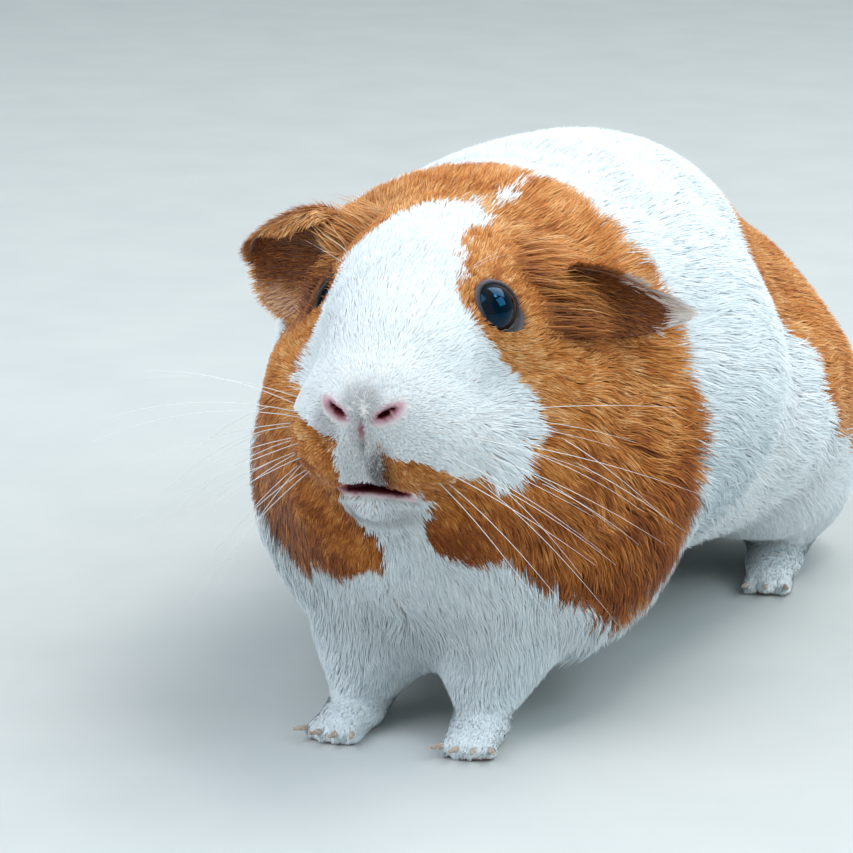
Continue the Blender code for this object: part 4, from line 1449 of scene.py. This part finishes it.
def makeWhiskers():
    points, edges, thin, along, strand = [], [], [], [], []
    share = np.linspace(0, 1, whiskers["steps"])
    lines = whiskerLines()
    for number, (root, aim, long, side) in enumerate(lines):
        fine = whiskers["fine"] if long < whiskers["fineUnder"] else 1
        root = headTurned(root * (side, 1, 1))
        # the root is put on the skin
        for _ in range(4):
            here, slope = slopeOf(skinDistance, root[None])
            root = root - slope[0] * (here[0] + 0.4)
        aim = headTurned(aim * (side, 1, 1)) - headTurned(np.zeros(3))
        sag = chance.uniform(*whiskers["droop"]) * long
        line = root + unit(aim) * (share * long)[:, None]
        line = line + np.array(whiskers["sag"]) * (sag * share**2)[:, None]
        first = len(points)
        points.extend(line)
        edges.extend((first + i, first + i + 1) for i in range(len(share) - 1))
        thin.extend(fine * (1 - whiskers["taper"] * share))
        along.extend(share)
        strand.extend([number] * len(share))
    data = bpy.data.meshes.new("whiskers")
    data.from_pydata(placed(np.array(points)).tolist(), edges, [])
    made = bpy.data.objects.new("whiskers", data)
    bpy.context.collection.objects.link(made)
    for label, values in (("thin", thin), ("along", along), ("strand", strand)):
        numberOn(made, label, values)
    tree, thickness, sides = whiskerTree()
    grow = made.modifiers.new("whiskers", "NODES")
    grow.node_group = tree
    grow[thickness] = whiskers["thick"] * mm
    grow[sides] = whiskers["sides"]
    bpy.context.view_layer.update()
    made.data = bpy.data.meshes.new_from_object(made.evaluated_get(bpy.context.evaluated_depsgraph_get()))
    made.modifiers.clear()
    made.data.shade_smooth()
    strand, along = np.empty((2, len(made.data.vertices)), np.float32)
    made.data.attributes["strand"].data.foreach_get("value", strand)
    made.data.attributes["along"].data.foreach_get("value", along)
    spin = np.arange(len(strand)) % whiskers["sides"] / 8
    flatMap = np.stack([(strand + 0.1 + spin) / len(lines), 0.02 + 0.96 * along], -1)
    turns = np.empty(len(made.data.loops), np.int32)
    made.data.loops.foreach_get("vertex_index", turns)
    layer = made.data.uv_layers.new(name="OFBake")
    layer.data.foreach_set("uv", flatMap[turns].reshape(-1).astype(np.float32))
    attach(made, "root")
    report(f"{len(lines)} whiskers, {len(made.data.polygons)} faces")


makeWhiskers()


# Where it stands, seen from the front left at about its own height
view = {"turn": 20.5, "down": 14.5, "away": 750.0, "aim": (14.4, 5.9, 77.0), "across": 170.0, "sensor": 36}


def placeCamera():
    turn, down = radians(view["turn"]), radians(view["down"])
    ahead = Vector((-sin(turn) * cos(down), cos(turn) * cos(down), -sin(down)))
    made = bpy.data.objects.new("camera", bpy.data.cameras.new("camera"))
    made.location = Vector(placed(np.array(view["aim"]))) - ahead * view["away"] * mm
    made.rotation_euler = ahead.to_track_quat("-Z", "Y").to_euler()
    made.data.sensor_width = view["sensor"]
    made.data.lens = view["sensor"] * view["away"] / view["across"]
    made.data.clip_start = 0.01
    bpy.context.collection.objects.link(made)
    bpy.context.scene.camera = made


# Soft lamps: where each stands and what it shines at (metres), its width and its watts
lamps = {
    "window": {"at": (-0.75, -0.75, 1.05), "to": (0, -0.06, 0.06), "size": 1.3, "power": 14.5},
    "overhead": {"at": (0.35, 0.45, 1.2), "to": (0, 0, 0.05), "size": 0.9, "power": 10.5},
    "side": {"at": (1.1, -0.15, 0.95), "to": (0, 0, 0.05), "size": 0.8, "power": 8},
    "glint": {"at": (0.5, -0.15, 1.2), "to": (0, -0.09, 0.09), "size": 0.2, "power": 1.4},
}
lampColours = {"window": "#EEF5FF", "overhead": "#FFFFFF", "side": "#E6F6FF", "glint": "#FFFFFF"}
studio = {"air": "#D6E8F0", "airStrength": 0.55, "floorHalf": 4}


def addLight(name, lamp):
    light = bpy.data.lights.new(name, "AREA")
    light.size = lamp["size"]
    light.energy = lamp["power"]
    light.color = colourOf(lampColours[name])[:3]
    made = bpy.data.objects.new(name, light)
    made.location = lamp["at"]
    made.rotation_euler = (Vector(lamp["to"]) - Vector(lamp["at"])).to_track_quat("-Z", "Y").to_euler()
    bpy.context.collection.objects.link(made)


placeCamera()
for name, lamp in lamps.items():
    addLight(name, lamp)
world = bpy.data.worlds.new("studio")
bpy.context.scene.world = world
world.use_nodes = True
air = world.node_tree.nodes["Background"].inputs
air["Color"].default_value = colourOf(studio["air"])
air["Strength"].default_value = studio["airStrength"]
bpy.context.scene.view_settings.view_transform = "Standard"

floorData = bpy.data.meshes.new("floor")
half = studio["floorHalf"]
floorCorners = [(-half, -half, 0), (half, -half, 0), (half, half, 0), (-half, half, 0)]
floorData.from_pydata(floorCorners, [], [(0, 1, 2, 3)])
floor = bpy.data.objects.new("floor", floorData)
bpy.context.collection.objects.link(floor)
floorData.materials.append(floorFinish())

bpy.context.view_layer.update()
report("done")
